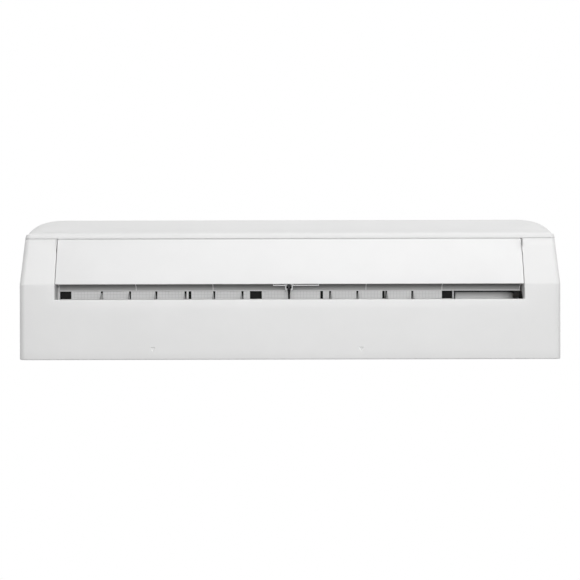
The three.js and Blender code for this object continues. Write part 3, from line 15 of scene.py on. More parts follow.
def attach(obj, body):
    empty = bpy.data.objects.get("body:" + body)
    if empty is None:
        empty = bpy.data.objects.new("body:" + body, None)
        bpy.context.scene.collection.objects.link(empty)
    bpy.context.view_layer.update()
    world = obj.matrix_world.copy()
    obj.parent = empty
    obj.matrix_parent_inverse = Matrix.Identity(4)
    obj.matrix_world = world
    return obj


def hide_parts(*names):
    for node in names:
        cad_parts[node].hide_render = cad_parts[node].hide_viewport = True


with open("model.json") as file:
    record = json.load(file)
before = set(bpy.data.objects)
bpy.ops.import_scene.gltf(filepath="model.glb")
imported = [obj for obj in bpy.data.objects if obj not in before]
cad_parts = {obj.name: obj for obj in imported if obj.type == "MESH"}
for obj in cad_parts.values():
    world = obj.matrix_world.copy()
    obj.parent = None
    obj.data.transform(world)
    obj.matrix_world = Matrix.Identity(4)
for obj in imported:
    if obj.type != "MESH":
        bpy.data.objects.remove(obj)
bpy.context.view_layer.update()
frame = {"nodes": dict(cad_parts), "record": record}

# depth of the wall behind the front face, height of the frame's origin above the underside
DEPTH, ORIGIN = 230.0, 150.0
WELD = 2e-6  # metres within which points of a mesh become one


def at(x, d, z):
    return Vector((x, d - DEPTH, z - ORIGIN)) / 1000


# ---------------------------------------------------------------- mesh making


class Shape:
    """Points and faces gathered from several forms."""

    def __init__(self):
        self.points, self.faces = [], []

    def add(self, points, faces):
        base = len(self.points)
        self.points += [tuple(p) for p in points]
        self.faces += [[base + i for i in f] for f in faces]
        return self

    def grid(self, rows, skip=None, wrap=False):
        """A sheet of quads through rows of points; skip(i, j) leaves one out."""
        width = len(rows[0])
        faces = []
        for i in range(len(rows) - 1):
            for j in range(width if wrap else width - 1):
                if not (skip and skip(i, j)):
                    k = (j + 1) % width
                    here, ahead = i * width, (i + 1) * width
                    faces.append((here + j, here + k, ahead + k, ahead + j))
        return self.add([p for row in rows for p in row], faces)

    def loft(self, rings):
        """A closed body through rings of points, with flat ends."""
        self.grid(rings, wrap=True)
        base, width = len(self.points) - len(rings) * len(rings[0]), len(rings[0])
        self.faces.append([base + i for i in reversed(range(width))])
        last = base + (len(rings) - 1) * width
        self.faces.append([last + i for i in range(width)])
        return self

    def across(self, outline, left, right, taper=None):
        """A closed (d, z) outline drawn out along x.

        taper gives how far each point of an end steps in.
        """
        steps = taper or [0] * len(outline)
        return self.loft([
            [(left + t, d, z) for (d, z), t in zip(outline, steps)],
            [(right - t, d, z) for (d, z), t in zip(outline, steps)],
        ])

    def upwards(self, outline, low, high):
        """A closed (x, d) outline drawn upwards."""
        return self.loft([[(x, d, z) for x, d in outline] for z in (low, high)])

    def inwards(self, outline, front, back):
        """A closed (x, z) outline drawn along the depth."""
        return self.loft([[(x, d, z) for x, z in outline] for d in (front, back)])

    def box(self, x0, x1, d0, d1, z0, z1):
        return self.upwards([(x0, d0), (x1, d0), (x1, d1), (x0, d1)], z0, z1)

    def revolve(self, profile, place, steps):
        """A closed ring body from (radius, along) points.

        place(radius, along, angle) gives each point in space.
        """
        base, width = len(self.points), len(profile)
        for i in range(steps):
            angle = math.tau * i / steps
            self.points += [place(radius, along, angle) for radius, along in profile]
        for i in range(steps):
            here, ahead = base + i * width, base + (i + 1) % steps * width
            for j in range(width):
                k = (j + 1) % width
                self.faces.append([here + j, here + k, ahead + k, ahead + j])
        return self


def arc(centre, radius, start, end, steps):
    """Points of an arc in a plane, angles in degrees; radius may be a pair."""
    ru, rv = radius if isinstance(radius, tuple) else (radius, radius)
    return [
        (centre[0] + ru * math.cos(math.radians(start + (end - start) * i / steps)),
         centre[1] + rv * math.sin(math.radians(start + (end - start) * i / steps)))
        for i in range(steps + 1)
    ]


def rounded(outline, radii, steps=5):
    """A closed outline with each corner rounded by its radius."""
    made, count = [], len(outline)
    for i, (u, v) in enumerate(outline):
        radius = radii[i] if isinstance(radii, (list, tuple)) else radii
        before, after = Vector(outline[i - 1]), Vector(outline[(i + 1) % count])
        here = Vector((u, v))
        a, b = (before - here), (after - here)
        if radius <= 0 or a.length < 1e-6 or b.length < 1e-6:
            made.append((u, v))
            continue
        half = a.angle(b) / 2
        if half > math.pi / 2 - 0.02:
            made.append((u, v))
            continue
        reach = min(radius / math.tan(half), a.length * 0.48, b.length * 0.48)
        start, end = here + a.normalized() * reach, here + b.normalized() * reach
        for k in range(steps + 1):
            t = k / steps
            p = start.lerp(here, t).lerp(here.lerp(end, t), t)
            made.append((p.x, p.y))
    return made


def strip(path, thickness, offset=0.0):
    """An open (d, z) path thickened to the right of its run."""
    def side(distance):
        made = []
        for i, p in enumerate(path):
            here = Vector(p)
            a = here - Vector(path[i - 1]) if i else None
            b = Vector(path[i + 1]) - here if i < len(path) - 1 else None
            a, b = (a or b).normalized(), (b or a).normalized()
            reach = distance / (1 + a.dot(b))
            made.append((here.x + (a.y + b.y) * reach, here.y - (a.x + b.x) * reach))
        return made
    return side(offset) + side(offset + thickness)[::-1]


def mesh_object(name, shape):
    mesh = bpy.data.meshes.new(name)
    mesh.from_pydata([at(*p) for p in shape.points], [], shape.faces)
    obj = bpy.data.objects.new(name, mesh)
    bpy.context.scene.collection.objects.link(obj)
    return obj


def clean(obj, outward=True):
    """Joins double points, drops flat faces and turns the faces outward."""
    work = bmesh.new()
    work.from_mesh(obj.data)
    bmesh.ops.remove_doubles(work, verts=work.verts, dist=WELD)
    bmesh.ops.dissolve_degenerate(work, edges=work.edges, dist=1e-6)
    if outward:
        bmesh.ops.recalc_face_normals(work, faces=work.faces)
    work.to_mesh(obj.data)
    work.free()


def settle(obj):
    """Applies an object's modifiers."""
    bpy.context.view_layer.update()
    held = obj.evaluated_get(bpy.context.evaluated_depsgraph_get())
    mesh = bpy.data.meshes.new_from_object(held)
    obj.modifiers.clear()
    obj.data = mesh


def smooth_faces(obj, angle):
    """Smooth shading, except over edges sharper than an angle in degrees."""
    obj.data.polygons.foreach_set("use_smooth", [True] * len(obj.data.polygons))
    obj.data.set_sharp_from_angle(angle=math.radians(angle))


def round_edges(obj, width, segments, limit):
    """Rounds the edges sharper than a limit in degrees."""
    change = obj.modifiers.new("edges", "BEVEL")
    change.width, change.segments = width / 1000, segments
    change.limit_method, change.angle_limit = "ANGLE", math.radians(limit)
    change.use_clamp_overlap = True
    settle(obj)


def carve(obj, *shapes):
    """Cuts closed shapes out of an object."""
    for i, shape in enumerate(shapes):
        tool = mesh_object(f"tool_{i}", shape)
        clean(tool)
        change = obj.modifiers.new("cut", "BOOLEAN")
        change.operation, change.solver, change.object = "DIFFERENCE", "EXACT", tool
        change.use_self = True
        settle(obj)
        bpy.data.objects.remove(tool)


# mean and half difference of the shifts at the opening's two ends, and its half length
SHIFT, SHIFT_SPREAD, OPENING_HALF = 0.9, 2.9, 470
# from where the shift fades out over a cheek, and over what length
FADE_START, FADE_RUN = 474, 40


def narrow(shape, above):
    """Brings the two ends of the panel's opening in to where the photo shows them."""
    made = []
    for x, d, z in shape.points:
        share = 1 if z > above else 0
        if abs(x) > FADE_START:
            share *= max(0, 1 - (abs(x) - FADE_START) / FADE_RUN)
        shift = SHIFT + SHIFT_SPREAD * max(-1, min(1, x / OPENING_HALF))
        made.append((x - share * shift, d, z))
    shape.points = made
    return shape


def piece(name, shape, material, body="case", replaces=(), wall=0.0, bevel=0.0, rings=2,
          limit=35, smooth=35, cuts=(), even=True):
    """A finished piece: walls from a sheet, cuts, rounded edges, material and body; the parts it
    replaces are hidden.
    """
    obj = mesh_object(name, shape)
    clean(obj, not wall)
    if wall:
        change = obj.modifiers.new("wall", "SOLIDIFY")
        change.thickness, change.offset, change.use_even_offset = wall / 1000, -1, even
        change.thickness_clamp = 0
        settle(obj)
    if cuts:
        carve(obj, *cuts)
    if bevel:
        round_edges(obj, bevel, rings, limit)
    smooth_faces(obj, smooth)
    obj.data.materials.clear()
    obj.data.materials.append(material)
    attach(obj, body)
    if replaces:
        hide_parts(*replaces)
    return obj


# ---------------------------------------------------------------- materials


def surface(name, color, roughness, metallic=0.0, grain=0.4, depth=0.02, mottle=0.015, patches=90,
            gloss_drift=0.06, stretch=None):
    """Moulded, painted or metal surface: fine grain, slow colour drift and uneven gloss.

    grain, depth and patches are millimetres, mottle is the share by which the colour drifts.
    """
    material = bpy.data.materials.new(name)
    material.use_nodes = True
    nodes, links = material.node_tree.nodes, material.node_tree.links
    shader = nodes["Principled BSDF"]
    shader.inputs["Metallic"].default_value = metallic
    place = nodes.new("ShaderNodeTexCoord")
    source = place.outputs["Object"]
    if stretch:
        turn = nodes.new("ShaderNodeMapping")
        turn.inputs["Scale"].default_value = stretch
        links.new(source, turn.inputs["Vector"])
        source = turn.outputs["Vector"]
    drift = nodes.new("ShaderNodeTexNoise")
    drift.inputs["Scale"].default_value = 1000 / patches
    drift.inputs["Detail"].default_value = 3
    links.new(source, drift.inputs["Vector"])
    tone = nodes.new("ShaderNodeValToRGB")
    tone.color_ramp.elements[0].position, tone.color_ramp.elements[1].position = 0.3, 0.7
    for element, share in zip(tone.color_ramp.elements, (1 - mottle, 1 + mottle)):
        element.color = (*[min(c * share, 1) for c in color], 1)
    links.new(drift.outputs["Fac"], tone.inputs["Fac"])
    links.new(tone.outputs["Color"], shader.inputs["Base Color"])
    fine = nodes.new("ShaderNodeTexNoise")
    fine.inputs["Scale"].default_value = 1000 / grain
    fine.inputs["Detail"].default_value = 4
    links.new(source, fine.inputs["Vector"])
    gloss = nodes.new("ShaderNodeMapRange")
    gloss.inputs["To Min"].default_value = roughness - gloss_drift / 2
    gloss.inputs["To Max"].default_value = roughness + gloss_drift / 2
    links.new(drift.outputs["Fac"], gloss.inputs["Value"])
    links.new(gloss.outputs["Result"], shader.inputs["Roughness"])
    bump = nodes.new("ShaderNodeBump")
    bump.inputs["Strength"].default_value = 0.6
    bump.inputs["Distance"].default_value = depth / 1000
    links.new(fine.outputs["Fac"], bump.inputs["Height"])
    links.new(bump.outputs["Normal"], shader.inputs["Normal"])
    return material


def paint_shade_by_height(material, low, high, share):
    """Paints shade into a material: darkens it to a share of its colour between two heights, in
    metres.
    """
    nodes, links = material.node_tree.nodes, material.node_tree.links
    target = nodes["Principled BSDF"].inputs["Base Color"]
    tone = target.links[0].from_socket
    place, split = nodes.new("ShaderNodeTexCoord"), nodes.new("ShaderNodeSeparateXYZ")
    run, mix = nodes.new("ShaderNodeMapRange"), nodes.new("ShaderNodeVectorMath")
    run.inputs["From Min"].default_value, run.inputs["From Max"].default_value = low, high
    run.inputs["To Min"].default_value, run.inputs["To Max"].default_value = 1, share
    mix.operation = "SCALE"
    links.new(place.outputs["Object"], split.inputs[0])
    links.new(split.outputs["Z"], run.inputs["Value"])
    links.new(tone, mix.inputs[0])
    links.new(run.outputs["Result"], mix.inputs["Scale"])
    links.new(mix.outputs["Vector"], target)
    return material


CASING = surface("casing_plastic", (0.84, 0.84, 0.838), 0.36, grain=0.5, depth=0.012)
PANEL = surface("panel_plastic", (0.86, 0.86, 0.86), 0.38, grain=1.2, depth=0.006)
LOUVER = surface("louver_plastic", (0.83, 0.83, 0.828), 0.34, grain=0.5)
FILTER = surface("filter_plastic", (0.93, 0.93, 0.93), 0.55, grain=0.3, depth=0.03)
MOULD = surface("chassis_plastic", (0.7, 0.705, 0.71), 0.5, grain=0.6, depth=0.03, mottle=0.03)
# mid grey that stands in for the shade on the sill's ribs under the flange
RIB_SHADE = surface("sill_rib_painted_shade", (0.5, 0.5, 0.5), 0.5, grain=0.5, depth=0.02)
RIBBING = surface("filter_ribs", (0.78, 0.78, 0.78), 0.6, grain=0.3, depth=0.02)
# the electrical cover's skirt: its colour darkens towards its top as painted shade under the
# panel's flange
SKIRT_SHADE = paint_shade_by_height(surface("cover_skirt_painted_shade", (0.8, 0.8, 0.8), 0.45, grain=0.5, depth=0.02),
              -0.028, -0.0135, 0.14)
# grey, and darker towards the lip: painted shade under the panel's flange
FLANGE_SHADE = paint_shade_by_height(surface("flange_lining_painted_shade", (0.5, 0.5, 0.5), 0.5, grain=0.5, depth=0.02),
              -0.011, 0.001, 0.3)
FAN = surface("fan_plastic", (0.03, 0.032, 0.035), 0.45, grain=0.5, depth=0.03, mottle=0.08)
VANE = surface("vane_plastic", (0.06, 0.062, 0.065), 0.5, grain=0.4, depth=0.02, mottle=0.06)
# near-black sealing foam, partly painted shade where it fills shadowed gaps
FOAM_SHADE = surface("sealing_foam_painted_shade", (0.012, 0.012, 0.012), 0.9, grain=1.4, depth=0.35, mottle=0.3,
               patches=4)
RUBBER = surface("soft_rubber", (0.02, 0.02, 0.021), 0.75, grain=0.4, depth=0.05, mottle=0.1)
ZINC = surface("galvanised_sheet", (0.62, 0.64, 0.66), 0.38, 1.0, grain=6, depth=0.02, mottle=0.08,
               patches=12, gloss_drift=0.2)
STEEL = surface("plated_steel", (0.6, 0.6, 0.6), 0.3, 1.0, grain=0.3, depth=0.01, mottle=0.04,
                patches=8)
FINS = surface("aluminium_fins_stack", (0.8, 0.82, 0.84), 0.3, 1.0, grain=1.5, depth=0.05,
               mottle=0.06, patches=30, stretch=(1, 0.05, 0.05))
COPPER = surface("drawn_copper", (0.76, 0.38, 0.22), 0.28, 1.0, grain=0.6, depth=0.01, mottle=0.12,
                 patches=14)
BRASS = surface("machined_brass", (0.8, 0.62, 0.3), 0.25, 1.0, grain=0.4, depth=0.012, mottle=0.05,
                patches=6)
BOARD = surface("circuit_board", (0.04, 0.2, 0.08), 0.35, grain=1.5, depth=0.02, mottle=0.12,
                patches=6)
BLACK = surface("component_plastic", (0.025, 0.025, 0.028), 0.4, grain=0.4, depth=0.02, mottle=0.08)
LOOKS = {
    "casing_white": CASING, "panel_white": PANEL, "louver_white": LOUVER, "filter_white": FILTER,
    "mould_grey": MOULD, "fan_black": FAN, "vane_black": VANE, "black_rubber": RUBBER,
    "zinc_sheet": ZINC, "bare_steel": STEEL, "aluminium_fins": FINS, "copper_tube": COPPER,
    "brass_nut": BRASS, "board_green": BOARD, "part_black": BLACK,
}
for part in frame["record"]["subparts"]:
    node = frame["nodes"][part["node"]]
    node.data.materials.clear()
    node.data.materials.append(LOOKS[part["material_slot"]])
    smooth_faces(node, 32)

# ---------------------------------------------------------------- sizes

HALF, LEAN = 540.0, 4.5  # half the case's width, and how far each side leans in
CREASE, SEAM, TOP = 150.0, 243.0, 283.0  # heights: the front leans back, the cover starts, it ends
FACE = 42.0  # how far the front has leant back at the seam
FACE_ANGLE = math.atan2(FACE, SEAM - CREASE)
GAP, ROLL = 0.8, 0.8  # gap under the top cover, and the rolled edge below it
CORNER = 12.0  # radius of the upright corners in plan
WALL, EDGE = 2.5, 1.2  # thickness of the mouldings, radius of the opening's edges
SILL, SILL_RUN = 120.0, 42.0  # height and depth of the ledge under the panel
RECESS = 471.2  # half the length of the opening between the cheeks
SHOULDER_X, SHOULDER_W = 460.5, 75.0  # where the top cover's shoulders start, and their width
SHOULDER_FOOT, SHOULDER_RISE = 3.5, 36.5  # height where they end, and over it where they start
SHOULDER_POWER = 2.4  # of their superellipse
CATCH_X = -2


def half_width(z):
    return HALF - LEAN * max(0, min(1, (z - CREASE) / 95))


# ---------------------------------------------------------------- front casing

# each level is a height, the front's depth there and how far the sides step in
foot, bend = 2.6, 10.0
tangent = bend * math.tan(FACE_ANGLE / 2)
levels = [(foot - foot * math.sin(math.radians(a)), foot - foot * math.cos(math.radians(a)),
           foot - foot * math.cos(math.radians(a))) for a in range(90, -1, -15)]
levels += [(z, 0, 0) for z in (20, 40, 60, 80, 100, SILL - EDGE, SILL, 130, 140)]
crease_foot = CREASE - tangent
levels += [(crease_foot + bend * math.sin(a), bend * (1 - math.cos(a)), 0)
           for a in [FACE_ANGLE * i / 6 for i in range(7)]]
brink = SEAM - GAP - ROLL
QUARTER = [math.pi / 2 * i / 4 for i in range(5)]
levels += [(z, (z - CREASE) * math.tan(FACE_ANGLE), 0) for z in (165, 185, 205, 225, brink)]
levels += [(brink + ROLL * math.sin(a),
            (brink - CREASE) * math.tan(FACE_ANGLE) + 0.3 + ROLL * (1 - math.cos(a)),
            ROLL * (1 - math.cos(a))) for a in QUARTER[1:]]

SIDE_DEPTHS, CORNER_STEPS = (198, 150, 100, 60), 10
CHEEK_X, FRONT_X = (-505, -490, -RECESS - EDGE), (-300, -150, 0, 150, 300)


def plan(z, front, side):
    """One level of the casing, from its left back corner round the front to its right one."""
    half = half_width(z) - side
    left = [(-half, d) for d in SIDE_DEPTHS]
    left += arc((-half + CORNER, front + CORNER), CORNER, 180, 270, CORNER_STEPS)
    left += [(x, front) for x in CHEEK_X]
    right = [(-x, d) for x, d in reversed(left)]
    middle = [(x, front) for x in FRONT_X]
    return [(x, d, z) for x, d in left + middle + right]


rings = [plan(*level) for level in levels]
count = len(rings[0])
inner_edge = len(SIDE_DEPTHS) + CORNER_STEPS + len(CHEEK_X)
# the underside ends round the outlet
OUTLET_LEFT, OUTLET_RIGHT, OUTLET_FRONT = -452, 317, 14.5
opening = []
for i, (x, d, _) in enumerate(rings[0]):
    on_side = min(i, count - 1 - i) < len(SIDE_DEPTHS)
    opening.append((max(OUTLET_LEFT, min(OUTLET_RIGHT, x)),
                    max(d, OUTLET_FRONT) if on_side else OUTLET_FRONT, 0))
sill_level = [i for i, level in enumerate(levels) if level[0] == SILL - EDGE][0] + 1
casing = Shape().grid(
    [opening] + rings,
    skip=lambda i, j: i >= sill_level and inner_edge <= j < count - 1 - inner_edge)
columns = [-RECESS - EDGE, *FRONT_X, RECESS + EDGE]
sill_run = [(EDGE * (1 - math.cos(a)), SILL - EDGE + EDGE * math.sin(a)) for a in QUARTER]
sill_run += [(20, SILL), (SILL_RUN - 1, SILL), (SILL_RUN, SILL - 1), (SILL_RUN, SILL - 8)]
casing.grid([[(x, d, z) for x in columns] for d, z in sill_run])
# the cheeks' inner walls: side, depth of the wall and how far its back returns
for side, deep, inner in ((-1, 46.8, 4.6), (1, 62, 0.2)):
    rows = []
    for z, front, _ in levels[sill_level:]:
        row = [(side * (RECESS + EDGE - EDGE * math.sin(a)), front + EDGE * (1 - math.cos(a)), z)
               for a in QUARTER]
        row += [(side * RECESS, d, z) for d in (30, deep - 0.8)]
        row += [(side * (RECESS - 0.05 * inner), deep - 0.2, z),
                (side * (RECESS - 0.2 * inner), deep, z), (side * (RECESS - inner), deep, z)]
        rows.append(row if side < 0 else row[::-1])
    casing.grid(rows)
MARK_Z = 21
marks = [Shape().loft([[(x + u * size, d, MARK_Z + v * size) for u, v in ((-5, 4), (5, 4), (0, -6))]
                       for d, size in ((-0.4, 1.15), (1.1, 0.75))]) for x in (-273.5, 141.5)]
narrow(casing, 112)
piece("front_casing_shell", casing, CASING, replaces=["front_casing"], wall=WALL,
      smooth=30, cuts=marks, even=False)

# ---------------------------------------------------------------- top cover

NOSE = 15.25  # height of the nose over the seam
RISE = TOP - SEAM - NOSE
# the cover's section in its middle: (depth behind FACE, height over the seam)
profile = [(0.5, 0), (0.15, 0.12), (0.15, 0.4)]
profile += [(2.7, 6.4)] + arc((14.1, 1.2), (12.6, 12.6), 156, 93, 9)
profile += [(18, 14.1), (21, 14.6), (23, NOSE)]
profile += [(23 + 56 * s, NOSE + RISE * (0.62 * s + 0.38 * s ** 2.2))
            for s in (0.1, 0.22, 0.36, 0.5, 0.64, 0.78, 0.88)]
profile += [(75.6, 37.4), (78.4, 39.0), (81.6, 39.85), (86, 40)]
profile += [(d - FACE, TOP - SEAM) for d in (130, 170, 214, 228.5)]
stations = [SHOULDER_X + SHOULDER_W * math.sin(math.radians(a))
            for a in [*range(0, 81, 4), *range(81, 91)]]
stations = sorted({0, 100, 200, 300, 400, 440, 480.0, *stations})
stations = [-x for x in reversed(stations) if x] + stations

COVER_HALF, TIP_START = 535.5, 506  # half the cover's width, and where its ends start to drop


def shoulder(reach):
    """Height of a shoulder's rounding, from its start at 0 to its end at 1."""
    return SHOULDER_RISE * max(0, 1 - reach ** SHOULDER_POWER) ** (1 / SHOULDER_POWER)


def cover_row(x, skirt=False):
    """The cover's profile at x, or the seam's edge below it."""
    top = SHOULDER_FOOT + shoulder(min(1, max(0, (abs(x) - SHOULDER_X) / SHOULDER_W)))
    over = max(0, abs(x) - (COVER_HALF - CORNER))
    back = CORNER - math.sqrt(max(0, CORNER * CORNER - over * over))
    row = []
    for d, z in profile:
        if z > NOSE and top > NOSE:
            z = NOSE + (top - NOSE) * (z - NOSE) / RISE
            ease = 0.6 * min(1, max(0, (abs(x) - 430) / 100)) * min(1, (z - NOSE) / 6)
            z += (top - z) * ease
        depth = FACE + d + back * max(0, 1 - d / 110)
        end = max(0, (abs(x) - TIP_START) / (COVER_HALF - TIP_START))
        tip = 0.5 + 13.6 * math.sqrt(max(0, 1 - end ** 2))
        tip += max(0, d - 14) * (0.25 + max(0, (520 - abs(x)) / 40))
        row.append((x, depth, SEAM if skirt else SEAM + min(z, top, tip)))
    return row


rows = [cover_row(x) for x in stations]
rows = [cover_row(stations[0], True)] + rows + [cover_row(stations[-1], True)]
GRILLE_HALF, GRILLE_FRONT, GRILLE_BACK = 479.9, 129, 200
xs = [r[0][0] for r in rows]
ds = [FACE + d for d, _ in profile]
cover = Shape().grid(rows, skip=lambda i, j: min(abs(xs[i]), abs(xs[i + 1])) < GRILLE_HALF
                     and GRILLE_FRONT < ds[j] < GRILLE_BACK)
cover.faces = [f[::-1] for f in cover.faces]
piece("top_cover_shell", cover, CASING, replaces=["top_cover"], wall=WALL,
      smooth=30, even=False)

# lips and end plates behind the cover's open edges
lips = Shape()
for left, right in ((-528, -471.5), (-466.5, 464.5), (469.5, 528)):
    lips.across(rounded([(45.1, 234), (46.5, 234), (46.5, 250), (45.1, 250)], 0.5, 2), left, right)
lips.across(rounded([(227.2, 226), (229.4, 226), (229.4, 281.5), (227.2, 281.5)], 0.5, 2),
            -480, 480)
end_plate = [(477, 236)] + [(SHOULDER_X + SHOULDER_W * r, SEAM + 1.2 + shoulder(r))
                            for r in (0.2, 0.35, 0.5, 0.62, 0.73, 0.82, 0.89, 0.95)]
end_plate += [(532, 248), (532, 236)]
for side in (-1, 1):
    lips.inwards([(side * x, z) for x, z in end_plate[::side]], 226.6, 228.3)
piece("top_cover_lips", lips, CASING, smooth=30)

# ---------------------------------------------------------------- front panel

slope = Vector((math.sin(FACE_ANGLE), math.cos(FACE_ANGLE)))
normal = Vector((-math.cos(FACE_ANGLE), math.sin(FACE_ANGLE)))
HINGE_RADIUS = 2.0
hinge = Vector((42.558, 239.377))  # the axis, (d, z)
crown = math.degrees(math.atan2(normal.y, normal.x))
inner_foot = tuple(hinge - normal * HINGE_RADIUS - slope * 80)
outer_foot = tuple(hinge + normal * HINGE_RADIUS - slope * 80)
side_profile = [tuple(hinge - normal * HINGE_RADIUS - slope * 70)]
side_profile += rounded(
    [inner_foot, (7.0, 155.5), (30.0, 154.4), (41.8, 146.5), (41.6, 136.6), (39.9, 136.6)],
    [0, 3.0, 9.0, 6.0, 0.7, 0.7], 6)
side_profile += arc((20.5, 137.4), (19.4, 14.0), 0, 90, 12)[1:]
side_profile += rounded([(18.0, 151.6), (3.6, 152.0), (2.6, 150.2), (0.3, 150.8), outer_foot],
                        [0, 1.0, 0.8, 1.2, 0], 6)
panel_outline = arc(tuple(hinge), HINGE_RADIUS, crown, crown - 180, 8) + side_profile
FLANGE_TAPER, FLANGE_TOP = 3.0, 152.2
taper = [FLANGE_TAPER * min(1, max(0, (d - 4) / 36)) if z < FLANGE_TOP else 0
         for d, z in panel_outline]
panel = Shape().across(panel_outline, -470, 470, taper)
notch = Shape().box(-10.2, 6.2, 12, 43, 130, 151.5)
piece("front_panel_shell", narrow(panel, 0), PANEL, "panel", ["front_panel"],
      cuts=[notch], bevel=0.7, rings=3, limit=50)

# grey sheet under the panel's flange, darkened further towards the lip: painted shade on the
# flange's underside
shade_lining_line = [(3.4, 151.8), (12, 151.5)] + arc((20.5, 137.2), (19.3, 14.0), 90, 3, 14)
shade_lining_outline = strip(shade_lining_line, -0.9)
shade_lining = Shape().across(shade_lining_outline, -468.5, 468.5,
                       [FLANGE_TAPER * max(0, (d - 4) / 36) for d, z in shade_lining_outline])
piece("panel_flange_shade_lining", narrow(shade_lining, 0), FLANGE_SHADE, "panel", cuts=[notch], bevel=0.25)

# finger pull under the lip, with the black clips of its ends
CLIP = 1.6
pull, clips = Shape(), Shape()
for left, right, end in ((-34, -9.4, -34 - CLIP), (5.4, 58, 58)):
    pull.across(rounded([(1.8, 147.2), (3.8, 147.2), (3.8, 148.7), (1.8, 148.7)], 0.5, 3),
                left, right)
    for x in (left, right - 1.4):
        pull.across(rounded([(3.2, 147.3), (8, 149), (9, 153), (6, 153)], 0.4, 2), x, x + 1.4)
    clips.across(rounded([(2.6, 146.4), (6, 146.4), (6, 152), (2.6, 150.6)], 0.3, 2),
                 end, end + CLIP)
piece("panel_pull", pull, PANEL, "panel", bevel=0.2)

# two hooks beside the tongue that the catch grips
HOOK = ((3.4, 150.6), (7.4, 149.4), (7.4, 139.8), (3.4, 138.6), (3.2, 140), (5.6, 141.2),
        (5.6, 148), (3.2, 149.2))
latch = Shape()
for side in (-1, 1):
    latch.inwards(rounded([(CATCH_X + side * u, z) for u, z in HOOK],
                          [0.3, 3, 3, 0.4, 0.4, 1.6, 1.6, 0.3], 6), 4.6, 8.0)
piece("panel_latch_grip", latch, PANEL, "panel", bevel=0.4, limit=50)
clips.across(rounded([(9, 141.5), (36, 138.5), (38.6, 140.5), (38.6, 144), (9, 155)], 1.2, 3),
             -3.6, -0.4)
piece("panel_tongue", clips, BLACK, "panel", bevel=0.3)
ribs = Shape()
rib_line = strip([(d, z) for d, z in shade_lining_line if d > 4.5], 0.9, 0.2)
for x in (-310, -155, 153, 306):
    ribs.across(rib_line, x - 0.7, x + 0.7)
piece("panel_guide_ribs", ribs, PANEL, "panel", bevel=0.15)

# ---------------------------------------------------------------- catch on the sill

PRONG = ((1.7, 120.3), (2.6, 120.3), (4.0, 134), (6.2, 137.4), (6.2, 146), (5.2, 146), (5.2, 139),
         (2.8, 136))
catch = Shape()
for side in (-1, 1):
    catch.inwards(rounded([(CATCH_X + side * u, z) for u, z in PRONG],
                          [0.3, 0.3, 2, 2.5, 0.5, 0.5, 1.5, 1], 4), 36.2, 40.8)
piece("catch_prongs", catch, CASING, replaces=["panel_catch"], bevel=0.5, limit=50)
SPINE = ((1.7, 120.3), (2.3, 130), (3.0, 137), (3.0, 142), (5.4, 142.4), (5.4, 145.4), (3.0, 145.8),
         (3.0, 149.8))
spine = Shape().inwards(
    rounded([(CATCH_X - 1.7, 120.3)] + [(CATCH_X + u, z) for u, z in SPINE]
            + [(CATCH_X - u, z) for u, z in SPINE[:0:-1]], 0.6, 3), 41.2, 43.8)
piece("catch_spine", spine, RUBBER, bevel=0.3)

# ribs that stand on the sill in the filters' slits, mid grey rather than white as painted shade
# under the flange
RIB_X = (-380, -323, -270, -211, -153, -96, 81, 136, 194, 247)
SLIT_X = (-202, 64, 189)
gussets = Shape()
for x in RIB_X:
    if x == RIB_X[0]:  # broader, and on both sides of its slit
        near, far, left, right = x - 1, x + 1, x - 4, x + 3.4
    else:
        side = math.copysign(1, x)
        near, far = sorted((x + side * 1.1, x + side * 2.2))
        left, right = sorted((x - side * 0.3, x + side * 3.8))
    gussets.loft([
        [(left, 35, 119.8), (right, 35, 119.8), (right, 44.6, 119.8), (left, 44.6, 119.8)],
        [(near, 43, 133), (far, 43, 133), (far, 44.6, 133), (near, 44.6, 133)],
    ])
piece("sill_ribs", gussets, RIB_SHADE, bevel=0.4, limit=30)

# ---------------------------------------------------------------- filters

NET_PITCH = 6.5
WIRE = ((-0.35, 0.3), (0.35, 0.3), (0.35, 0.62), (-0.35, 0.62))  # section of a cross wire
filter_path = [(45.2, 120.4), (45.2, 128)] + rounded(
    [(45.2, 128), (45.2, 160), (85.1, 246), (111.1, 268), (204, 268)], [0, 8, 18, 22, 0], 5)[1:]


def along(path, step):
    """Points and directions every so far along a path."""
    made, rest = [], step / 2
    for a, b in zip(path, path[1:]):
        a, b = Vector(a), Vector(b)
        length = (b - a).length
        while rest <= length:
            made.append((a + (b - a) * (rest / length), (b - a) / length))
            rest += step
        rest -= length
    return made


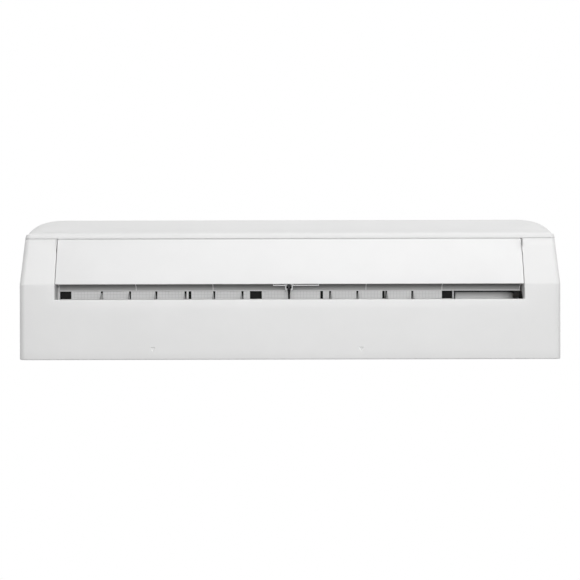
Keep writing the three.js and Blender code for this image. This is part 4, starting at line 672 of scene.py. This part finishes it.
KNEE = 140.0  # up to here the slits of the sill's ribs part the net
upper_path = [(45.2, KNEE)] + filter_path[2:]
for name, left, right in (("filter_left", -441.4, -81), ("filter_right", -57, 306.4)):
    net, grid, rim = Shape(), Shape(), Shape()
    slits = sorted((x, *((2.7, 2.7) if x in SLIT_X else (1.7, 2.2)))
                   for x in RIB_X + SLIT_X + (-3,) if left < x < right)
    net.across(strip(upper_path, 0.5, 0.6), left + 2, right - 2)
    bars = round((right - left) / NET_PITCH)
    for i in range(1, bars):
        x = left + (right - left) * i / bars
        grid.across(strip(upper_path, 0.32, 0.35), x - 0.35, x + 0.35)
        if all(abs(x - slit[0]) > 3.2 for slit in slits):
            grid.box(x - 0.35, x + 0.35, 45.55, 45.87, 120.6, KNEE)
    spans = list(zip([(left + 2, 0, 0)] + slits, slits + [(right - 2, 0, 0)]))
    for (x0, w0, v0), (x1, w1, v1) in spans:
        net.inwards([(x0 + w0, 120.5), (x1 - w1, 120.5), (x1 - v1, KNEE), (x0 + v0, KNEE)],
                    45.8, 46.3)
        rim.inwards([(x0 + w0, 120.4), (x1 - w1, 120.4), (x1 - w1, 121.6), (x0 + w0, 121.6)],
                    45.3, 46.8)
        for x, w, v, way in ((x0, w0, v0, 1), (x1, w1, v1, -1)):
            if w:
                rim.inwards([(x + way * w, 120.4), (x + way * (w + 0.8), 120.4),
                             (x + way * (v + 0.8), KNEE), (x + way * v, KNEE)][::way], 45.3, 46.8)
    for here, run in along(filter_path, NET_PITCH):
        out = Vector((-run.y, run.x))
        section = [tuple(here + run * u - out * v) for u, v in WIRE]
        parted = here.y < KNEE - 1 and here.x < 50
        runs = spans if parted else [((left + 2, 0, 0), (right - 2, 0, 0))]
        for (x0, w0, v0), (x1, w1, v1) in runs:
            grid.across(section, x0 + max(w0, v0), x1 - max(w1, v1))
    for x0, x1 in ((left, left + 5), (right - 5, right)):
        rim.across(strip(filter_path, 1.6), x0, x1)
    for i in range(1, 4):
        x = left + (right - left) * i / 4
        rim.across(strip(upper_path[1:-1], 1.3, 0.2), x - 1.5, x + 1.5)
    rim.across([(45.2, 158), (46.8, 158), (46.8, 162), (45.2, 162)], left + 4, right - 4)
    for d0, d1 in ((196, 204), (112, 116)):
        rim.across([(d0, 266.4), (d1, 266.4), (d1, 268), (d0, 268)], left + 4, right - 4)
    piece(name + "_net", net, FILTER, name, [name])
    piece(name + "_grid", grid, RIBBING, name)
    piece(name + "_rim", rim, FILTER, name)

# black foam that closes the space between the sill and the heat exchanger
# and the gaps above and beside the electrical cover; its near-black is partly painted shade in
# these gaps
foam = Shape()
foam.across(rounded([(50.1, 116.6), (52.4, 116.6), (52.4, 141), (50.1, 141)], 0.6, 2),
            -465.5, 326.5)
foam.across(rounded([(44.8, 134.4), (50.2, 134.4), (50.2, 141), (44.8, 141)], 0.8, 2), 331.5, 463)
foam.across(rounded([(24, 120.4), (60, 120.4), (60, 135.6), (44, 135.6)], 0.8, 2), 464.6, 467.2)
piece("sealing_foam_painted_shade", foam, FOAM_SHADE)

# ---------------------------------------------------------------- electrical cover


def cover_ring(z):
    """The cover's outline at a height; its front leans out low down and again at the top."""
    t = min(1, max(0, (z - 119) / 20))
    front = 50.6 + 2.6 * (1 - math.cos(t * math.pi / 2))
    if z > 225:
        front += 6 * (1 - math.cos(min(1, (z - 225) / 9) * math.pi / 2))
    turn = arc((456 - 34, 82), (34, 82 - front), -90, 0, 12)
    return [(x, d, z) for x, d in [(334.2, 82), (334.2, front + 2), (336.2, front)] + turn]


shade = Shape().loft([cover_ring(z) for z in (141.3, 147, 180, 225, 228, 231, 234)])
skirt = Shape().loft([cover_ring(z) for z in (104.5, 110, 116, 121, 125, 129, 133, 137, 141)])
hollow = Shape().box(336.6, 449.6, 66, 90, 100, 232)
piece("electrical_cover_shell", shade, CASING, replaces=["electrical_cover"],
      cuts=[hollow], bevel=0.6, limit=50)
# the skirt's colour darkens towards its top: painted shade
piece("electrical_cover_skirt", skirt, SKIRT_SHADE, cuts=[hollow], bevel=0.4, limit=50)

# ---------------------------------------------------------------- top grille

SLATS, RIBS, RIBS_PER_PILLAR = 11, 15, 4
grille = Shape()
low_z, high_z = 278.2, 282.8
for d0, d1 in ((130.8, 136.6), (207.4, 213.2)):
    grille.across(rounded([(d0, low_z), (d1, low_z), (d1, high_z), (d0, high_z)], 0.9, 3),
                  -479.2, 479.2)
for side in (-1, 1):
    end = [(side * 479.2, 131), (side * 472, 131), (side * 472, 213), (side * 479.2, 213)]
    grille.upwards(end[::side], low_z + 0.2, high_z - 0.3)
for i in range(SLATS):
    d = 136.6 + 70.8 * (i + 1) / (SLATS + 1)
    grille.across(rounded([(d - 1.5, low_z + 0.4), (d + 0.1, low_z + 0.4), (d + 1.5, high_z - 0.2),
                           (d - 0.1, high_z - 0.2)], 0.6, 2), -473, 473)
for i in range(RIBS):
    x = -472 + 944 * (i + 1) / (RIBS + 1)
    half, top = (2.4, 1.2) if i % RIBS_PER_PILLAR == RIBS_PER_PILLAR - 1 else (1.0, 0)
    grille.box(x - half, x + half, 135, 209, low_z + 0.1, high_z - 1.6 + top)
piece("top_grille_shell", grille, CASING, replaces=["top_grille"], smooth=40)

# ---------------------------------------------------------------- fan rotor

HUB = (132.0, 118.0)
FAN_LEFT, FAN_RIGHT, BLADES, CELLS = -441.0, 306.0, 35, 8
BLADE_ROOT, BLADE_RUN, BLADE_WIDTH = 37.6, 9.6, 0.03  # radius, radial length, thickness in radians
BLADE_STEPS = (0, 0.2, 0.4, 0.6, 0.8, 1)
DISC_EDGE, DISC_FACE, DISC = 47.9, 47.4, 3


def turned(radius, angle):
    return (HUB[0] + radius * math.cos(angle), HUB[1] + radius * math.sin(angle))


def on_axle(radius, x, angle):
    return (x, *turned(radius, angle))


def blade_point(start, t, width):
    """A point of a curved blade, from its root at t = 0 to its tip at t = 1."""
    angle = start + 0.16 * t + 0.1 * math.sin(math.pi * t) + width * (1 - 0.5 * t)
    return turned(BLADE_ROOT + BLADE_RUN * t, angle)


rotor = Shape()
for i in range(BLADES):
    start = math.tau * i / BLADES
    front = [blade_point(start, t, 0) for t in BLADE_STEPS]
    back = [blade_point(start, t, BLADE_WIDTH) for t in reversed(BLADE_STEPS)]
    rotor.across(front + back, FAN_LEFT + 1, FAN_RIGHT - 1)
for i in range(CELLS + 1):
    x = FAN_LEFT + (FAN_RIGHT - FAN_LEFT - DISC) * i / CELLS
    hole = 7.0 if i in (0, CELLS) else 35.0
    rotor.revolve([(DISC_EDGE, x + 0.5), (DISC_FACE, x), (hole, x), (hole, x + DISC),
                   (DISC_FACE, x + DISC), (DISC_EDGE, x + 2.5)], on_axle, 64)
for x0, x1, bore, out in ((-455, -439, 0.5, 5.0), (303, 310, 5.2, 12.0)):
    rotor.revolve([(bore, x0), (out, x0), (out, x1), (bore, x1)], on_axle, 24)
piece("fan_rotor_shell", rotor, FAN, "fan", ["fan_rotor"], smooth=40)

# ---------------------------------------------------------------- heat exchanger fins


def outline_of(node):
    """The (d, z) corners of a slab and its reach along x."""
    points = [node.matrix_world @ v.co for v in node.data.vertices]
    left, right = min(p.x for p in points), max(p.x for p in points)
    corners = {(round(p.y * 1000 + DEPTH, 2), round(p.z * 1000 + ORIGIN, 2))
               for p in points if p.x - left < 1e-4}
    middle = [sum(c[k] for c in corners) / len(corners) for k in (0, 1)]
    ordered = sorted(corners, key=lambda c: math.atan2(c[1] - middle[1], c[0] - middle[0]))
    return ordered, left * 1000, right * 1000


FIN_PITCH, FIN_HALF = 2.6, 0.2
for name in ("coil_lower", "coil_upper", "coil_rear"):
    corners, left, right = outline_of(frame["nodes"][name])
    fins = Shape()
    total = int((right - left) / FIN_PITCH)
    for i in range(total + 1):
        x = left + FIN_HALF + (right - left - 2 * FIN_HALF) * i / total
        fins.across(corners, x - FIN_HALF, x + FIN_HALF)
    core = [tuple(Vector(c).lerp(Vector(corners[i - 2]), 0.1)) for i, c in enumerate(corners)]
    fins.across(core, left + 0.5, right - 0.5)
    piece(name + "_fins", fins, FINS, replaces=[name], smooth=30)

# ---------------------------------------------------------------- softened solids


def soften(name, width, body="case"):
    """Shows a node by a copy of its solid with rounded edges."""
    source = frame["nodes"][name]
    obj = bpy.data.objects.new(name + "_soft", source.data.copy())
    obj.matrix_world = source.matrix_world.copy()
    bpy.context.scene.collection.objects.link(obj)
    work = bmesh.new()
    work.from_mesh(obj.data)
    bmesh.ops.remove_doubles(work, verts=work.verts, dist=WELD)
    bmesh.ops.dissolve_limit(work, angle_limit=0.01, verts=work.verts, edges=work.edges)
    work.to_mesh(obj.data)
    work.free()
    round_edges(obj, width, 2, 40)
    smooth_faces(obj, 35)
    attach(obj, body)
    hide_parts(name)


for name, width in (
        ("rear_chassis", 0.7), ("outlet_housing", 0.6), ("wall_plate", 0.4), ("fan_motor", 1.2),
        ("motor_clamp", 0.6), ("electrical_box", 0.6), ("filter_guide", 0.4), ("louver_motor", 0.6),
        ("vane_motor_left", 0.6), ("vane_motor_right", 0.6), ("terminal_block", 0.5),
        ("board_transformer", 0.7), ("cable_clamp", 0.5), ("board_capacitor", 0.6),
        ("air_sensor", 0.4), ("drain_plug", 0.5), ("gas_flare_nut", 0.6),
        ("liquid_flare_nut", 0.5)):
    soften(name, width)
soften("louver", 0.7, "louver")
for i in range(1, 11):
    soften(f"vane_{i}", 0.4, f"vane_{i}")
for side in ("left", "right"):
    soften(f"vane_link_{side}", 0.3, f"vane_link_{side}")

# ---------------------------------------------------------------- camera, light, background

camera = bpy.data.objects.new("camera", bpy.data.cameras.new("camera"))
bpy.context.scene.collection.objects.link(camera)
# the photograph's view: nearly level, 3.2 m off, with a slight roll
EYE, ROLL_ANGLE = (0, -3200, 138.6), -0.0023
camera.data.lens, camera.data.sensor_width = 99.74, 36
camera.data.clip_start, camera.data.clip_end = 0.05, 60
camera.location = at(*EYE)
level_view = Matrix.Rotation(math.pi / 2, 3, "X")
camera.rotation_euler = (level_view @ Matrix.Rotation(ROLL_ANGLE, 3, "Z")).to_euler()
bpy.context.scene.camera = camera


def lamp(name, place, target, size, power):
    """A soft area lamp; its place, target and size are metres in the shared frame."""
    light = bpy.data.lights.new(name, "AREA")
    light.shape, light.size, light.size_y, light.energy = "RECTANGLE", size[0], size[1], power
    obj = bpy.data.objects.new(name, light)
    obj.location = place
    obj.rotation_euler = (Vector(target) - Vector(place)).to_track_quat("-Z", "Y").to_euler()
    bpy.context.scene.collection.objects.link(obj)


lamp("key", (0.35, -2.0, 2.9), (0, -0.2, 0), (4.4, 1.3), 53)
lamp("right", (2.4, -1.3, 0.6), (0.3, -0.1, 0), (1.6, 1.6), 8)
lamp("front", (0.1, -3.5, 0.4), (0, -0.2, 0), (2.6, 0.6), 36)


def seen_rays(nodes, links):
    """1 for the rays that show the background itself, 0 for the light it gives."""
    path = nodes.new("ShaderNodeLightPath")
    seen = path.outputs["Is Camera Ray"]
    for ray in ("Is Glossy Ray", "Is Transmission Ray"):
        either = nodes.new("ShaderNodeMath")
        either.operation = "MAXIMUM"
        links.new(seen, either.inputs[0])
        links.new(path.outputs[ray], either.inputs[1])
        seen = either.outputs[0]
    return seen


SKY, GROUND = 0.36, 0.22  # strength of the light from above and from below
world = bpy.data.worlds.new("studio")
bpy.context.scene.world = world
world.use_nodes = True
nodes, links = world.node_tree.nodes, world.node_tree.links
backdrop = nodes["Background"]
backdrop.inputs["Color"].default_value = (1, 1, 1, 1)
place = nodes.new("ShaderNodeTexCoord")
split = nodes.new("ShaderNodeSeparateXYZ")
links.new(place.outputs["Generated"], split.inputs[0])
dome = nodes.new("ShaderNodeMapRange")
dome.interpolation_type = "SMOOTHSTEP"
dome.inputs["From Min"].default_value, dome.inputs["From Max"].default_value = -0.15, 0.45
dome.inputs["To Min"].default_value, dome.inputs["To Max"].default_value = GROUND, SKY
links.new(split.outputs["Z"], dome.inputs["Value"])
strength = nodes.new("ShaderNodeMix")
links.new(seen_rays(nodes, links), strength.inputs["Factor"])
links.new(dome.outputs["Result"], strength.inputs["A"])
strength.inputs["B"].default_value = 1.0
links.new(strength.outputs["Result"], backdrop.inputs["Strength"])

# the unit hangs on a wall, so its pale floor lies well below it
FLOOR_RADIUS, FLOOR_Z, FLOOR_SIDES = 6000, -3900, 64
turns = [math.tau * i / FLOOR_SIDES for i in range(FLOOR_SIDES)]
floor = mesh_object("floor", Shape().add(
    [(FLOOR_RADIUS * math.cos(a), FLOOR_RADIUS * math.sin(a), FLOOR_Z) for a in turns],
    [list(range(FLOOR_SIDES))]))
pale = bpy.data.materials.new("pale_floor")
pale.use_nodes = True
nodes, links = pale.node_tree.nodes, pale.node_tree.links
nodes["Principled BSDF"].inputs["Base Color"].default_value = (0.8, 0.8, 0.8, 1)
nodes["Principled BSDF"].inputs["Roughness"].default_value = 0.9
glow, mix = nodes.new("ShaderNodeEmission"), nodes.new("ShaderNodeMixShader")
links.new(seen_rays(nodes, links), mix.inputs["Fac"])
links.new(nodes["Principled BSDF"].outputs["BSDF"], mix.inputs[1])
links.new(glow.outputs["Emission"], mix.inputs[2])
links.new(mix.outputs["Shader"], nodes["Material Output"].inputs["Surface"])
floor.data.materials.append(pale)

bpy.context.scene.view_settings.view_transform = "Standard"
